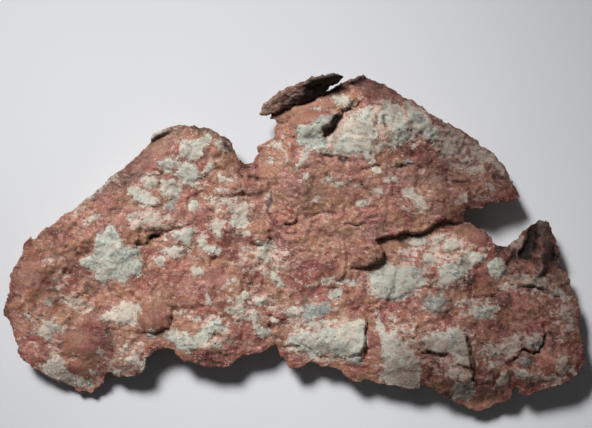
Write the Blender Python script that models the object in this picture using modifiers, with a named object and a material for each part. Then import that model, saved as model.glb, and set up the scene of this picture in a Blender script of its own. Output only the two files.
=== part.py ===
"""Native copper: one thin, crumpled sheet with lumps of pale mineral crust grown on it, lying on its back."""

import bmesh
import bpy
import numpy as np
from mathutils import Vector, noise

# Driving dimensions in millimetres; a new sheet length scales everything with it
SHEET_LENGTH = 203.1  # far left rim to far right rim
OUTLINE_LENGTH = 203.1  # the same length in the outline below
MM = 0.001 * SHEET_LENGTH / OUTLINE_LENGTH
SPINE_HEIGHT = 9.0  # middle of the sheet above the surface that it lies on
BODY_HALF = 2.7  # half the sheet's thickness, away from its rim
RIM_HALF = 0.95  # half the thickness of the torn rim
RIM_REACH = 9.0  # how far in from the rim the sheet thickens
PLATE_HALF = 2.0  # half the thickness of the flat blank
BLANK_VOXEL = 1.0
JOIN_VOXEL = 0.85
FACE_BUDGET = 9300  # triangles left when the surface is simplified
FLAP_THICKNESS = 2.4
WAVE_SIZE = 42.0  # spacing of the broad waves of the whole sheet
WAVE_HEIGHT = 3.4
FOOT_LEVEL = 0.35  # what is lower than this is pressed flat onto the surface
FOOT_SAG = 2.4  # how far the whole sheet dips towards the surface at a foot
FOOT_DEPTH = 5.4  # how far a foot would thicken the underside if the surface didn't stop it
CORNER_TIE = 1e-6  # distances closer than this are to the same corner

# The torn outline, clockwise from the far left, in plan
LEFT_AND_DOME = [
    (-101.4, -25), (-100, -20), (-98.9, -12.5), (-98, -9), (-95, -4), (-94, 0), (-92, 2.0), (-90.5, 1),
    (-86.5, 5), (-83, 7.5), (-76.5, 12), (-70, 17), (-66.5, 20), (-61.5, 25.3), (-57, 28.5), (-52, 33),
    (-50, 35.4), (-49.2, 38.3), (-44.5, 40.2), (-40, 41.1), (-33, 40.3), (-28.7, 39.7), (-25.5, 37.4),
    (-22.5, 36.2), (-21.3, 33), (-19, 28.8), (-17.5, 27.3), (-14.5, 27.6), (-13.3, 30), (-11.8, 30.8),
    (-12.6, 33.8), (-9, 35.5), (-6.8, 36.2), (-5.7, 38.3), (-5.7, 42.2), (-8.3, 44),
]
BEHIND_THE_FLAP = [(-9, 47), (-4, 50.5), (0, 52), (5, 53), (10, 52.7)]
FIN = [
    (13, 53.8), (17, 55.5), (21.5, 57.2), (24, 58.9), (28, 56.7), (34, 53.9), (39.5, 50.2), (45.5, 47.7),
    (49, 44.5), (53, 42.2), (61, 37.8), (65.5, 34.2), (69, 32.5), (72, 28.5), (74.8, 24.5), (77.5, 19.5),
    (79.3, 15.7), (74.5, 14), (68, 14.3), (65, 12), (60.5, 12),
]
NOTCH_AND_HORN = [
    (59, 10), (59.6, 7.6), (62, 7), (67, 3.8), (70, 0), (73, -1.5), (75.5, -1.5), (76.5, 0.3), (80, 3.8),
    (82.5, 6), (85, 6.6), (86.5, 7.7), (88.8, 7), (91.2, 2.5), (92.8, -3.5), (92, -6), (95.5, -10.5),
]
RIGHT_AND_FOOT = [
    (97, -15.3), (99, -19.3), (100, -31), (101.7, -39.5), (98.3, -46.5), (94, -49), (85, -52.2),
    (79.8, -53.4), (77.5, -50), (76.6, -53), (73.5, -56), (66, -59), (61.5, -58.6), (57, -56.2),
    (51, -53), (45.4, -49.6), (41, -51.3), (36, -50.2), (25, -47.3), (24, -48.8), (20.5, -48.8),
    (15, -43.8), (8, -42), (0, -44), (-2, -43), (-5, -38), (-6.2, -35.8), (-9.5, -37.5), (-19, -40),
    (-24.5, -43.8), (-35, -42), (-42, -37.3), (-47.5, -37.3), (-52, -40.5), (-51.6, -43.5), (-55, -46.8),
    (-61, -47.3), (-65.5, -45.3), (-67.8, -50.3), (-70.5, -52.6), (-76.5, -52), (-83.5, -48.3),
    (-92, -43), (-96.8, -38.5), (-96, -36.5), (-99, -28.5),
]
OUTLINE = LEFT_AND_DOME + BEHIND_THE_FLAP + FIN + NOTCH_AND_HORN + RIGHT_AND_FOOT

# Broad swells of the whole sheet: centre, half widths and lift
SWELLS = [
    (-48, 14, 26, 22, 2.6), (-86, -22, 16, 20, -1.6), (-52, -38, 20, 14, 1.2), (-12, 12, 9, 34, -2.2),
    (24, 30, 34, 22, 2.4), (52, 22, 22, 16, -1.0), (72, -14, 12, 14, -1.6), (20, -32, 26, 12, 1.8),
    (70, -44, 24, 12, 1.6), (40, 52, 26, 9, -2.0), (-66, 22, 22, 10, -1.6), (-24, -30, 16, 10, -1.0),
    (65, 15, 14, 9, 7.0), (-72, -52, 16, 9, -4.5), (66, -58, 16, 9, -4.5), (97, -34, 8, 16, 2.5),
]

# Lumps and slabs that stand on the face: centre, half widths, turn in degrees and height
LUMPS = [
    (-62, -4, 9, 9, 20, 1.2), (-47, 8, 12, 5, 8, 3.0), (-38.5, 2, 4.5, 4, 0, 1.8), (-12, 3, 4.5, 4, 0, 2.2),
    (-40, 29, 12, 8, 20, 1.4), (-60, -24, 7, 4, 10, 1.4), (-49, -26, 6, 6, 0, 1.6), (-75, -16, 5, 4, 0, 1.4),
    (-78, -46, 8, 4, -10, 1.2), (-26, -30, 6, 5, 0, 1.3), (-40, -35, 5, 4, -40, 1.8), (-19, -20, 9, 4, 20, 0.9),
    (8, 42, 7, 4.5, 15, 3.2), (22, 38, 9, 8, 0, 1.8), (38, 44, 9, 7, -30, 1.4), (57, 33, 9, 6, -35, 1.2),
    (37, -13.5, 10, 5.5, 10, 1.1), (61, -4, 8, 4, 0, 1.3), (57, -12, 7, 5, 0, 1.1), (71, -10, 3.6, 3.6, 0, 1.8),
    (9, -33, 13, 5, -8, 1.0), (20, -33, 6, 8, 0, 1.0), (36, -42, 8, 7, 0, 0.9), (50, -34, 10, 4, -5, 1.5),
    (57, -45, 6, 6, 0, 1.6), (66, -23, 7, 4, 20, 1.5), (94, -26, 4, 6, 10, 1.4), (81, -36, 6, 5, 0, 1.6),
    (80.5, -41, 2.6, 2.6, 0, 2.2), (79, -45.5, 2.6, 2.6, 0, 1.8), (87, -45, 9, 5, 20, 1.4), (70, -36, 6, 4, 0, 1.0),
    (8, -24.5, 7, 3.5, 20, 1.0), (49, -20, 6, 4, -40, 1.0), (-28, 31, 5, 8, -30, 1.0), (-14, -6, 5, 4, 0, 0.8),
    (-88, -31, 4, 4, 0, 1.3), (-82, -28, 4, 3, 0, 1.1), (-94, -18, 4, 6, 10, 1.2), (-84, -10, 5, 4, 30, 1.0),
    (-72, 2, 5, 4, 35, 1.2), (-74, -36, 7, 4, 10, 1.0), (-57, -42, 5, 4, 0, 1.3), (-30, -18, 4, 4, 0, 0.9),
    (2, 20, 6, 4, -10, 1.2), (16, 8, 8, 4, 5, 1.3), (34, 12, 7, 5, 0, 1.2), (50, 14, 6, 4, 0, 1.2),
    (64, 16, 5, 3.5, 0, 1.4), (26, -2, 4, 4.5, 0, 1.8), (14, -10, 6, 4, 0, 1.0), (80, -22, 7, 4, 0, 1.0),
    (64, 3, 5, 3, -30, 1.6), (-24, 4, 6, 3.5, 0, 1.1), (-22, 20, 5, 3.5, 20, 1.1), (52, 2, 5, 3.5, 0, 1.0),
]

# Ledges: walking along the points, the ground on the left lies lower by the step and climbs back over the reach
FIN_OVER_BODY = [
    (59.5, 8.6), (58, 7), (55, 7.3), (50, 6), (46, 3.3), (42, 3), (35.5, 2), (31.5, 2), (28.8, 1.8),
    (30.5, -0.8), (31.3, -3), (30.2, -6.2), (28, -7), (25, -8.3), (22, -8.7), (20, -8.6),
]
LEDGES = [
    (FIN_OVER_BODY, 4.2, 7),
    ([(-35, 9.5), (-35.5, 6.5), (-38, 5.5), (-43, 4.5), (-46, 3.5), (-50, 0.2), (-57, -0.8)], 3.0, 4),
    ([(24, 49.5), (18, 46.5), (16, 44), (14.5, 41), (12, 39.3), (9, 38.3), (4, 38)], 2.8, 4),
    ([(24.8, -25.5), (25.6, -29), (25.3, -33), (24.7, -38.5), (23, -42)], 2.4, 4),
    ([(61.2, -31), (62, -39), (63, -46), (63.3, -51)], -2.0, 4),
    ([(87, -26), (88, -32), (87.5, -34.5), (86, -38), (81, -37.3), (78, -40), (73, -41)], 2.0, 4),
    ([(30, -35.5), (17, -40.3), (10, -39.5), (7, -37.6), (2, -35.6), (-3, -35.5)], 1.6, 3),
    ([(93, -18.5), (85, -15.5), (78, -15.3)], 1.4, 4),
    ([(54, -11), (49.5, -13), (41.5, -17), (37, -18.8), (28, -19.6)], 1.5, 4),
    ([(-42.5, -21), (-43.2, -30), (-49, -31.6), (-55, -30.5)], 1.2, 3),
    ([(-22, -43), (-15, -38.6), (-9, -35), (-6, -32)], 1.2, 3),
]

# Cracks: points, half width and depth
CRACKS = [
    (FIN_OVER_BODY[:9], 1.4, 2.8),
    (FIN_OVER_BODY[10:], 1.4, 2.0),
    ([(-57, -0.4), (-54, -1.0), (-51, -0.2), (-50, 1.4), (-47.5, 2.6)], 1.4, 2.0),
    ([(-50, 4.0), (-45, 3.5), (-43, 4.4), (-38, 5.3), (-35.4, 6.4), (-34.8, 9)], 1.3, 1.6),
    ([(20, 47.2), (18, 46.2), (16, 44.6), (14.6, 41.8), (12, 39.6), (8, 38.5)], 2.0, 3.0),
    ([(-9, 22), (-8.2, 16), (-8, 11), (-6, 8), (-5.5, 5)], 1.2, 1.6),
    ([(-15.5, 22.8), (-12, 21.6), (-8.5, 22)], 1.2, 1.6),
    ([(74, -8.5), (77, -6), (77.2, -2)], 1.2, 2.0),
    ([(-6.5, 43), (-4.5, 42), (-2, 42), (-1, 44)], 1.1, 1.6),
]

# The horn by the notch: a cup with a deep hollow and a high right wall
HORN_WALL = (87.6, -1.0, 3.6, 9.0, -12, 7.0)
HORN_TIP = (86.6, 6.0, 3.6, 2.6, 0, 3.0)
HORN_LEFT_RIM = (78.5, 0, 2.6, 4.5, -25, 2.6)
HORN_HOLLOW = [(84.0, 5.0), (83.0, 1.0), (82.0, -2.0), (80.8, -5.5)]
HORN_HOLLOW_HALF_WIDTH = 3.4
HORN_HOLLOW_DEPTH = 4.2

# The flap: the top rim torn free and bent up towards the viewer
FLAP_LOWER_EDGE = [
    (-12.4, 44.8, 9.0), (-9.4, 45.2, 8.0), (-7, 45.6, 8.0), (-4, 47.4, 8.0), (1, 49.6, 8.4), (6, 51.0, 9.0),
    (10.5, 52.6, 10.0), (14.3, 55.0, 13.0), (17.4, 56.5, 15.0),
]
FLAP_UPPER_EDGE = [
    (-11.8, 45.9, 10.5), (-9.6, 49.2, 13.5), (-7, 49.6, 14.0), (-5.6, 52.0, 15.6), (0.4, 54.0, 17.2),
    (5.6, 56.2, 18.0), (11.2, 57.9, 18.4), (14.9, 58.3, 18.2), (17.6, 57.0, 17.2),
]
FLAP_BULGES = [-0.2, -0.9, -1.2, -1.1, -0.6, 0.3, 0.7, 0.5, 0.1]  # how far each pair of points bows to the north
FLAP_THICKNESS_SHARES = [0.6, 0.9, 1.0, 1.0, 1.0, 1.0, 0.9, 0.8, 0.6]
FLAP_LUMPS = 0.75

# Feet: dips of the sheet that rest on the surface: centre, half widths and turn
FEET = [
    (-72, -22, 19, 12, 30), (-38, 20, 12, 18, -20), (45, 27, 20, 12, -30), (76, -31, 14, 18, 20),
    (10, -25, 22, 12, 10),
]

# Lumps of the underside that don't reach the surface
BACK_LUMPS = [
    (-40, -22, 12, 7, -20, 2.0), (-12, 8, 7, 12, 15, 1.8), (18, 18, 12, 8, 30, 1.6), (48, -8, 14, 6, -15, 1.8),
    (-60, 6, 10, 6, 35, 1.4), (34, -34, 8, 7, 0, 1.6), (66, 24, 7, 5, -30, 1.2), (12, 42, 9, 6, 10, 1.4),
    (-86, -34, 6, 6, 0, 1.2), (92, -18, 4, 8, 10, 1.2), (56, -46, 10, 5, -10, 1.6),
]

# Broken plates: size, height between neighbours and tilt, coarse first
PLATES = [(9.0, 1.2, 0.16), (5.0, 0.8, 0.16)]
FACE_PLATES_SHARE = 0.6
FACE_HACKLE = 0.8
BACK_PLATES_SHARE = 0.6
BACK_HACKLE = 1.6


def clear_scene():
    for obj in list(bpy.data.objects):
        bpy.data.objects.remove(obj)


def smooth_step(value):
    value = np.clip(value, 0, 1)
    return value * value * (3 - 2 * value)


def nearest_on_line(plan, line):
    """For each plan point: distance to the line, side (+1 on the left) and run from 0 to 1 along it.

    At a corner shared by two stretches, the one that the point stands further aside of gives the side.
    """
    corners = np.array(line, float)
    total = np.linalg.norm(np.diff(corners, axis=0), axis=1).sum()
    distance = np.full(len(plan), np.inf)
    aside = np.zeros(len(plan))
    run = np.zeros(len(plan))
    walked = 0.0
    for start, end in zip(corners[:-1], corners[1:]):
        step = end - start
        length = np.hypot(*step)
        along = np.clip((plan - start) @ step / length**2, 0, 1)
        offset = plan - start - along[:, None] * step
        away = np.hypot(offset[:, 0], offset[:, 1])
        across = (step[0] * offset[:, 1] - step[1] * offset[:, 0]) / length
        same_corner = np.abs(away - distance) < CORNER_TIE
        closer = np.where(same_corner, np.abs(across) > np.abs(aside), away < distance)
        distance[closer] = away[closer]
        aside[closer] = across[closer]
        run[closer] = (walked + along[closer] * length) / total
        walked += length
    return distance, np.sign(aside), run


def mound(plan, lump, steepness=1.5):
    """A rounded mound, 1 at its centre and near 0 a little outside its half widths."""
    x, y, half_x, half_y, turn = lump[:5]
    angle = np.radians(turn)
    across = (plan[:, 0] - x) * np.cos(angle) + (plan[:, 1] - y) * np.sin(angle)
    along = (plan[:, 1] - y) * np.cos(angle) - (plan[:, 0] - x) * np.sin(angle)
    return np.exp(-((across / half_x) ** 2 + (along / half_y) ** 2) ** steepness)


def faded_ends(run):
    return smooth_step(run / 0.12) * smooth_step((1 - run) / 0.12)


def ledge(plan, line, step, reach):
    distance, side, run = nearest_on_line(plan, line)
    drop = -step * np.exp(-distance / reach)
    lip = 0.35 * step * np.exp(-distance / reach)
    return faded_ends(run) * np.where(side > 0, drop, lip)


def crack(plan, line, half_width, depth):
    distance, _, run = nearest_on_line(plan, line)
    return -depth * faded_ends(run) * smooth_step(1 - distance / half_width)


def hackle(points, size, seed, octaves=3):
    """Rough noise of one size over the points in space, between about -1 and 1."""
    offset = Vector((seed * 17.3, seed * 5.1, seed * 9.7))
    return np.array([noise.fractal(Vector(p) / size + offset, 0.8, 2.1, octaves) for p in points])


def broken_plates(plan, size, step, tilt, seed):
    """Height of plates that meet at sharp edges, each with its own level and its own tilt."""
    table = np.random.default_rng(seed).uniform(-1, 1, (4096, 5))
    cell = np.floor(plan / size).astype(int)
    nearest = np.full(len(plan), np.inf)
    height = np.zeros(len(plan))
    for shift_x in (-1, 0, 1):
        for shift_y in (-1, 0, 1):
            place = cell + (shift_x, shift_y)
            draw = table[(place[:, 0] * 7919 + place[:, 1] * 104729) % len(table)]
            offset = plan - (place + 0.5 + 0.42 * draw[:, :2]) * size
            away = np.hypot(offset[:, 0], offset[:, 1])
            closer = away < nearest
            nearest[closer] = away[closer]
            slope = offset[:, 0] * draw[:, 3] + offset[:, 1] * draw[:, 4]
            height[closer] = (0.5 * step * draw[:, 2] + tilt * slope)[closer]
    return height


def spine_height(plan):
    flat = np.column_stack([plan, np.zeros(len(plan))])
    height = SPINE_HEIGHT + WAVE_HEIGHT * hackle(flat, WAVE_SIZE, 5, 1)
    for foot in FEET:
        height -= FOOT_SAG * mound(plan, foot, 1.0)
    for x, y, half_x, half_y, lift in SWELLS:
        height += lift * np.exp(-(((plan[:, 0] - x) / half_x) ** 2) - ((plan[:, 1] - y) / half_y) ** 2)
    return height


def face_relief(plan):
    relief = np.zeros(len(plan))
    for lump in LUMPS + [HORN_WALL, HORN_TIP, HORN_LEFT_RIM]:
        relief += lump[5] * mound(plan, lump)
    for line, step, reach in LEDGES:
        relief += ledge(plan, line, step, reach)
    for line, half_width, depth in CRACKS:
        relief += crack(plan, line, half_width, depth)
    distance, _, _ = nearest_on_line(plan, HORN_HOLLOW)
    relief -= HORN_HOLLOW_DEPTH * smooth_step(1 - distance / HORN_HOLLOW_HALF_WIDTH)
    return relief


def back_relief(plan):
    relief = np.zeros(len(plan))
    for foot in FEET:
        relief += FOOT_DEPTH * mound(plan, foot, 1.0)
    for lump in BACK_LUMPS:
        relief += lump[5] * mound(plan, lump)
    return relief


def mesh_object(name, mesh):
    obj = bpy.data.objects.new(name, mesh)
    bpy.context.scene.collection.objects.link(obj)
    return obj


def baked(obj, name):
    """The object with its modifiers applied, as a new mesh object; the old one is removed."""
    graph = bpy.context.evaluated_depsgraph_get()
    mesh = bpy.data.meshes.new_from_object(obj.evaluated_get(graph))
    new = mesh_object(name, mesh)
    bpy.data.objects.remove(obj)
    return new


def voxel_remesh(obj, name, size):
    remesh = obj.modifiers.new("Remesh", "REMESH")
    remesh.mode = "VOXEL"
    remesh.voxel_size = size * MM
    return baked(obj, name)


def flat_blank():
    """The outline as a flat plate, remeshed into an even grid."""
    curve = bpy.data.curves.new("outline", "CURVE")
    curve.dimensions = "2D"
    curve.fill_mode = "BOTH"
    curve.extrude = PLATE_HALF * MM
    spline = curve.splines.new("POLY")
    spline.points.add(len(OUTLINE) - 1)
    for point, (x, y) in zip(spline.points, OUTLINE):
        point.co = (x * MM, y * MM, 0, 1)
    spline.use_cyclic_u = True
    plate = baked(mesh_object("outline", curve), "plate")
    bm = bmesh.new()
    bm.from_mesh(plate.data)
    bmesh.ops.remove_doubles(bm, verts=bm.verts, dist=0.0001 * MM)
    bmesh.ops.recalc_face_normals(bm, faces=bm.faces)
    bm.to_mesh(plate.data)
    bm.free()
    return voxel_remesh(plate, "blank", BLANK_VOXEL)


def points_of(obj):
    points = np.empty(len(obj.data.vertices) * 3)
    obj.data.vertices.foreach_get("co", points)
    return points.reshape(-1, 3) / MM


def set_points(obj, points):
    obj.data.vertices.foreach_set("co", (points * MM).ravel())
    obj.data.update()


def crumple(blank):
    """Bends the flat blank, thins its rim and raises the relief of both faces."""
    points = points_of(blank)
    plan = points[:, :2].copy()
    level = np.clip(points[:, 2] / PLATE_HALF, -1, 1)
    rim_distance, _, _ = nearest_on_line(plan, OUTLINE + OUTLINE[:1])
    inner = smooth_step(rim_distance / RIM_REACH)
    half = RIM_HALF + (BODY_HALF - RIM_HALF) * inner
    keep = 0.3 + 0.7 * inner
    wander = np.column_stack([hackle(points, 8, 3), hackle(points, 8, 4)])
    plates = sum(
        broken_plates(plan + 2.0 * wander, size, step, tilt, index)
        for index, (size, step, tilt) in enumerate(PLATES)
    )
    face_roughness = FACE_PLATES_SHARE * plates + FACE_HACKLE * hackle(points, 7, 1)
    back_roughness = BACK_PLATES_SHARE * plates + BACK_HACKLE * hackle(points, 14, 2)
    front = half + keep * (face_relief(plan) + face_roughness)
    back = half + keep * (back_relief(plan) + back_roughness)
    height = spine_height(plan) + level * np.where(level > 0, np.maximum(front, 0.4), np.maximum(back, 0.4))
    points[:, 2] = np.maximum(height, 0)
    set_points(blank, points)
    return blank


def curled_flap():
    """A strip between two edges in space, bulging outwards, with the sheet's thickness."""
    stations = len(FLAP_LOWER_EDGE)
    rows = 5
    bm = bmesh.new()
    bmesh.ops.create_grid(bm, x_segments=stations - 1, y_segments=rows - 1, size=1)
    lower = np.array(FLAP_LOWER_EDGE, float)
    upper = np.array(FLAP_UPPER_EDGE, float)
    shares = []
    for vert in bm.verts:
        station = round((vert.co.x + 1) / 2 * (stations - 1))
        rise = (vert.co.y + 1) / 2
        place = lower[station] * (1 - rise) + upper[station] * rise
        place[1] += FLAP_BULGES[station] * np.sin(np.pi * rise)
        vert.co = place * MM
        shares.append(FLAP_THICKNESS_SHARES[station])
    mesh = bpy.data.meshes.new("flap")
    bm.to_mesh(mesh)
    bm.free()
    flap = mesh_object("flap", mesh)
    group = flap.vertex_groups.new(name="thickness")
    for index, share in enumerate(shares):
        group.add([index], share, "REPLACE")
    solidify = flap.modifiers.new("Thickness", "SOLIDIFY")
    solidify.vertex_group = "thickness"
    solidify.thickness = FLAP_THICKNESS * MM
    solidify.offset = 0
    subdivide = flap.modifiers.new("Round", "SUBSURF")
    subdivide.levels = 1
    subdivide.render_levels = 1
    flap = voxel_remesh(baked(flap, "flap_solid"), "flap", JOIN_VOXEL)
    points = points_of(flap)
    lump = FLAP_LUMPS * hackle(points, 5, 6)
    outward = np.array([vert.normal for vert in flap.data.vertices])
    set_points(flap, points + lump[:, None] * outward)
    return flap


def joined(first, second, name):
    """Both meshes in one object, made one skin by a voxel remesh."""
    bm = bmesh.new()
    bm.from_mesh(first.data)
    bm.from_mesh(second.data)
    mesh = bpy.data.meshes.new(name)
    bm.to_mesh(mesh)
    bm.free()
    bpy.data.objects.remove(first)
    bpy.data.objects.remove(second)
    return voxel_remesh(mesh_object(name, mesh), name, JOIN_VOXEL)


def simplified(obj, name):
    triangles = sum(len(face.vertices) - 2 for face in obj.data.polygons)
    decimate = obj.modifiers.new("Simplify", "DECIMATE")
    decimate.ratio = FACE_BUDGET / triangles
    decimate.use_collapse_triangulate = True
    return baked(obj, name)


def seat(obj):
    """Puts the plan centre at the origin and the feet flat on the surface."""
    points = points_of(obj)
    low = points.min(axis=0)
    high = points.max(axis=0)
    points[:, :2] -= (low[:2] + high[:2]) / 2
    points[:, 2] -= low[2]
    points[points[:, 2] < FOOT_LEVEL, 2] = 0
    set_points(obj, points)


def copper_material():
    material = bpy.data.materials.new("native_copper")
    material.use_nodes = True
    shader = material.node_tree.nodes["Principled BSDF"]
    shader.inputs["Base Color"].default_value = (0.36, 0.17, 0.13, 1)
    shader.inputs["Roughness"].default_value = 0.6
    shader.inputs["Metallic"].default_value = 0.5
    return material


def build():
    clear_scene()
    blank = crumple(flat_blank())
    whole = joined(blank, curled_flap(), "whole")
    sheet = simplified(whole, "copper_sheet")
    seat(sheet)
    sheet.data.shade_smooth()
    sheet.data.set_sharp_from_angle(angle=np.radians(35))
    sheet.data.materials.clear()
    sheet.data.materials.append(copper_material())
    collection = bpy.data.collections.new("native_copper")
    bpy.context.scene.collection.children.link(collection)
    collection.objects.link(sheet)
    bpy.context.scene.collection.objects.unlink(sheet)


build()
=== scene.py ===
"""Looks of the native copper sheet: hackly surface, mineral crust, flap, grains, floor, light and camera."""

import math
from types import SimpleNamespace

import bmesh
import bpy
import numpy as np
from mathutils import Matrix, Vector, noise


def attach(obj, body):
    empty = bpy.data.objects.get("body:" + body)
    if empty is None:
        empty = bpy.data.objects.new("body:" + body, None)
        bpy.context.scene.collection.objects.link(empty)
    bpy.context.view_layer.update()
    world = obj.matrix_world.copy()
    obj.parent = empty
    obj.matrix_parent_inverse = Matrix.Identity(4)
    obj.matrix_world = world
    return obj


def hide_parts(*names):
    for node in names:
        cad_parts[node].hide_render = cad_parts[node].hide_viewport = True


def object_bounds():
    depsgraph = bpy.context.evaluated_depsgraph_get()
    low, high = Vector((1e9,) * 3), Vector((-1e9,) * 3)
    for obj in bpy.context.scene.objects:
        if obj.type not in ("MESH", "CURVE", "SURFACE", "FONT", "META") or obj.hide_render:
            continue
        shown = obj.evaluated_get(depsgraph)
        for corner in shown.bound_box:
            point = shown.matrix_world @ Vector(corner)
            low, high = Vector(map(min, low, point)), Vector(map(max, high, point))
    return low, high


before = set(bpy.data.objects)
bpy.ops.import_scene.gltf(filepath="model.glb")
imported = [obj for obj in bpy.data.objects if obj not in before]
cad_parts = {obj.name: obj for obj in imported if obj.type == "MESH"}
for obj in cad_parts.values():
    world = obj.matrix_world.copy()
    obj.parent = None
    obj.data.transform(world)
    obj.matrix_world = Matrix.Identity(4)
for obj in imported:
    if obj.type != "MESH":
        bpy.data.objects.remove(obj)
cad_low, cad_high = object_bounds()

# Units: every place and size below is in millimetres unless it says otherwise
MM = 0.001

# Sheet, with the same broad form as the solid
SPINE_HEIGHT = 9.0  # middle of the sheet above the floor
BODY_HALF = 2.7  # half the sheet's thickness, away from its rim
RIM_HALF = 0.95  # half the thickness of the torn rim
RIM_REACH = 9.0  # how far in from the rim the sheet thickens
PLATE_HALF = 2.0  # half the thickness of the flat blank
FINE_VOXEL = 0.5
TRIANGLE_LIMIT = 192000
WAVE_SIZE = 42.0
WAVE_HEIGHT = 3.4
FOOT_SAG = 2.4  # how far the whole sheet dips over a foot
FOOT_DEPTH = 5.4  # how much lower its underside bulges there
FOOT_LEVEL = 0.35  # what ends lower than this is pressed flat on the floor
THINNEST_HALF = 0.4
RELIEF_AT_RIM = 0.3  # share of the relief that is left at the rim
SKIN_AT_RIM = 0.4  # share of the fine skin that is left there
FRAYED_REACH = 2.5  # how far in from the rim the outline is frayed
RIM_FRAY = 0.55
FACE_RAG = (4.5, 1.0, 41)  # size, reach and seed of the raggedness shared by the relief and its dark places

# Random values for the cells of a grid: the table's length, and two primes that scatter the cells over it
TABLE_LENGTH = 4096
ACROSS_PRIME = 7919
ALONG_PRIME = 104729

# The torn outline, clockwise from the far left, in plan
LEFT_RIM = [
    (-101.4, -25), (-101, -22), (-100, -20), (-99.3, -16), (-98.7, -12.8), (-99.3, -11.5), (-98, -9),
    (-96.5, -7), (-95, -4), (-94, 0), (-92.2, 2.2), (-91, 0.8), (-90, 1.2), (-89.5, 2.5), (-86.5, 5),
    (-83, 7.5), (-79.5, 10), (-76.5, 12), (-73, 15), (-70, 17), (-66.5, 20), (-64, 23), (-61.5, 25.3),
    (-60, 25.8), (-57, 28.5), (-55, 30), (-52, 33), (-50, 35.2),
]
DOME_RIM = [
    (-50, 36.5), (-49.2, 38.3), (-47.5, 38.8), (-44.5, 40.2), (-42, 40.5), (-40, 41.1), (-38, 41.1),
    (-36.5, 40.7), (-35, 40.8), (-33, 40.3), (-30, 40), (-28.7, 39.7), (-27, 38.3), (-25.5, 37.4),
    (-24, 37.3), (-22.5, 36.2), (-21.6, 35), (-21.3, 33), (-20, 31.2), (-19, 28.8), (-17.5, 27.3),
    (-15, 27.8), (-14.3, 27.5), (-13.3, 30), (-12.8, 30.6), (-11.8, 30.8), (-12.8, 33.3), (-12.3, 34.2),
    (-10, 34.5), (-9, 35.5), (-6.8, 36.2), (-6.5, 37.3), (-5.7, 38.3), (-6.8, 38.8), (-5.8, 41.5),
    (-5.6, 42.7), (-8.6, 43.4), (-7.5, 44),
]
BEHIND_THE_FLAP = [(-9, 47), (-4, 50.5), (0, 52), (5, 53), (10, 52.6)]
FIN_RIM = [
    (11.2, 52.6), (13, 53.8), (15, 54.7), (17, 55.5), (18.5, 56.5), (19.5, 57), (21.5, 57.2), (22.3, 58),
    (24, 58.9), (25, 58), (28, 56.7), (31, 55.5), (34, 53.9), (37, 52), (39.5, 50.2), (41.5, 49.8),
    (43.5, 48.6), (45.5, 47.7), (46.5, 46), (49, 44.5), (51, 43), (53, 42.2), (56, 40.8), (59, 39.3),
    (61, 37.8), (64, 36), (65.5, 34.2), (67.5, 32.8), (69, 32.5), (70.5, 30.8), (72, 28.5), (73.5, 27),
    (74.8, 24.5), (76, 22), (77.5, 19.5), (78.5, 17.5), (79.3, 15.7), (78, 15.2), (76, 14.8), (74.5, 14),
    (72, 14.5), (71, 14), (68, 14.3), (67, 13.3), (65, 12), (62, 11.5), (60.5, 12), (59.5, 10.5),
]
NOTCH_AND_HORN = [
    (59, 10), (59.5, 8), (60, 7.2), (62, 7), (64.5, 5), (67, 3.8), (69, 2), (70, 0), (71, -1),
    (73, -1.5), (75.5, -1.5), (76.5, 0.3), (78.5, 1.3), (79.5, 2.5), (80, 3.8), (81.8, 5), (82.5, 6),
    (85, 6.3), (85.2, 7.5), (88, 7.7), (88.8, 7), (89.8, 5), (91.2, 2.5), (92, 1), (92.2, -1),
    (92.8, -3.5), (92.9, -4.8), (92, -6), (93.4, -8.3), (95.5, -10.5), (96, -12),
]
RIGHT_RIM = [
    (97, -15.3), (98.2, -18.2), (99, -19.3), (99.8, -24), (100, -31), (101, -35), (101.7, -39.5),
    (101, -42), (99.8, -44.5), (98.3, -46.5), (95, -49), (93.5, -49), (90, -50.5), (85, -52.2),
    (82, -53), (79.8, -53.4), (78.3, -51.5), (77.5, -50), (76.9, -51), (76.6, -53), (75.5, -55),
    (73.5, -56), (71, -56.6), (68.5, -57.8), (66, -59), (63.5, -59.1), (61.5, -58.6), (60.5, -57.2),
    (57, -56.2), (55, -55), (53, -54), (51, -53), (49.2, -51), (47, -50), (45.4, -49.6), (44, -50.8),
    (41, -51.3), (38, -51), (36, -50.2), (33, -50), (29, -49), (26, -48), (25, -47.3), (24.3, -48.7),
    (22.5, -49), (20.5, -48.8), (18.8, -47.5), (17.8, -46), (16.5, -45), (15, -43.8), (12, -43.3),
]
LOWER_RIM = [
    (9.5, -43), (8, -42), (6.5, -41.8), (5, -42), (4, -43), (2.5, -44), (0, -44), (-2, -43),
    (-2.7, -41), (-4.5, -39.5), (-5, -38), (-5.3, -36.5), (-6.2, -35.8), (-8, -36.3), (-9.5, -37.5),
    (-11.5, -38.3), (-14, -38.7), (-16.5, -39.3), (-19, -40), (-21, -41.5), (-22.5, -42.8),
    (-24.5, -43.8), (-28, -43.2), (-32, -43), (-35, -42), (-38, -41.2), (-39.5, -40.3), (-41, -38.5),
    (-42, -37.3), (-45, -36.8), (-47.5, -37.3), (-49.5, -38.5), (-50, -40), (-52, -40.5),
    (-51.6, -43.5), (-53, -45.5), (-55, -46.8), (-58, -47), (-61, -47.3), (-63, -46.5), (-64.5, -45.5),
    (-65.5, -45.3), (-66.5, -48.5), (-67.8, -50.3), (-69, -51.5), (-70.5, -52.6), (-74, -52.8),
    (-76.5, -52), (-77.5, -50.8), (-81, -49.5), (-83.5, -48.3), (-86, -46.8), (-88.5, -45.5),
    (-90, -44.5), (-92, -43), (-94, -41.3), (-95.5, -40), (-96.8, -38.5), (-96, -36.5), (-97, -35),
    (-97.8, -32.5), (-98.5, -31), (-99, -28.5), (-100, -26.8),
]
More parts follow.
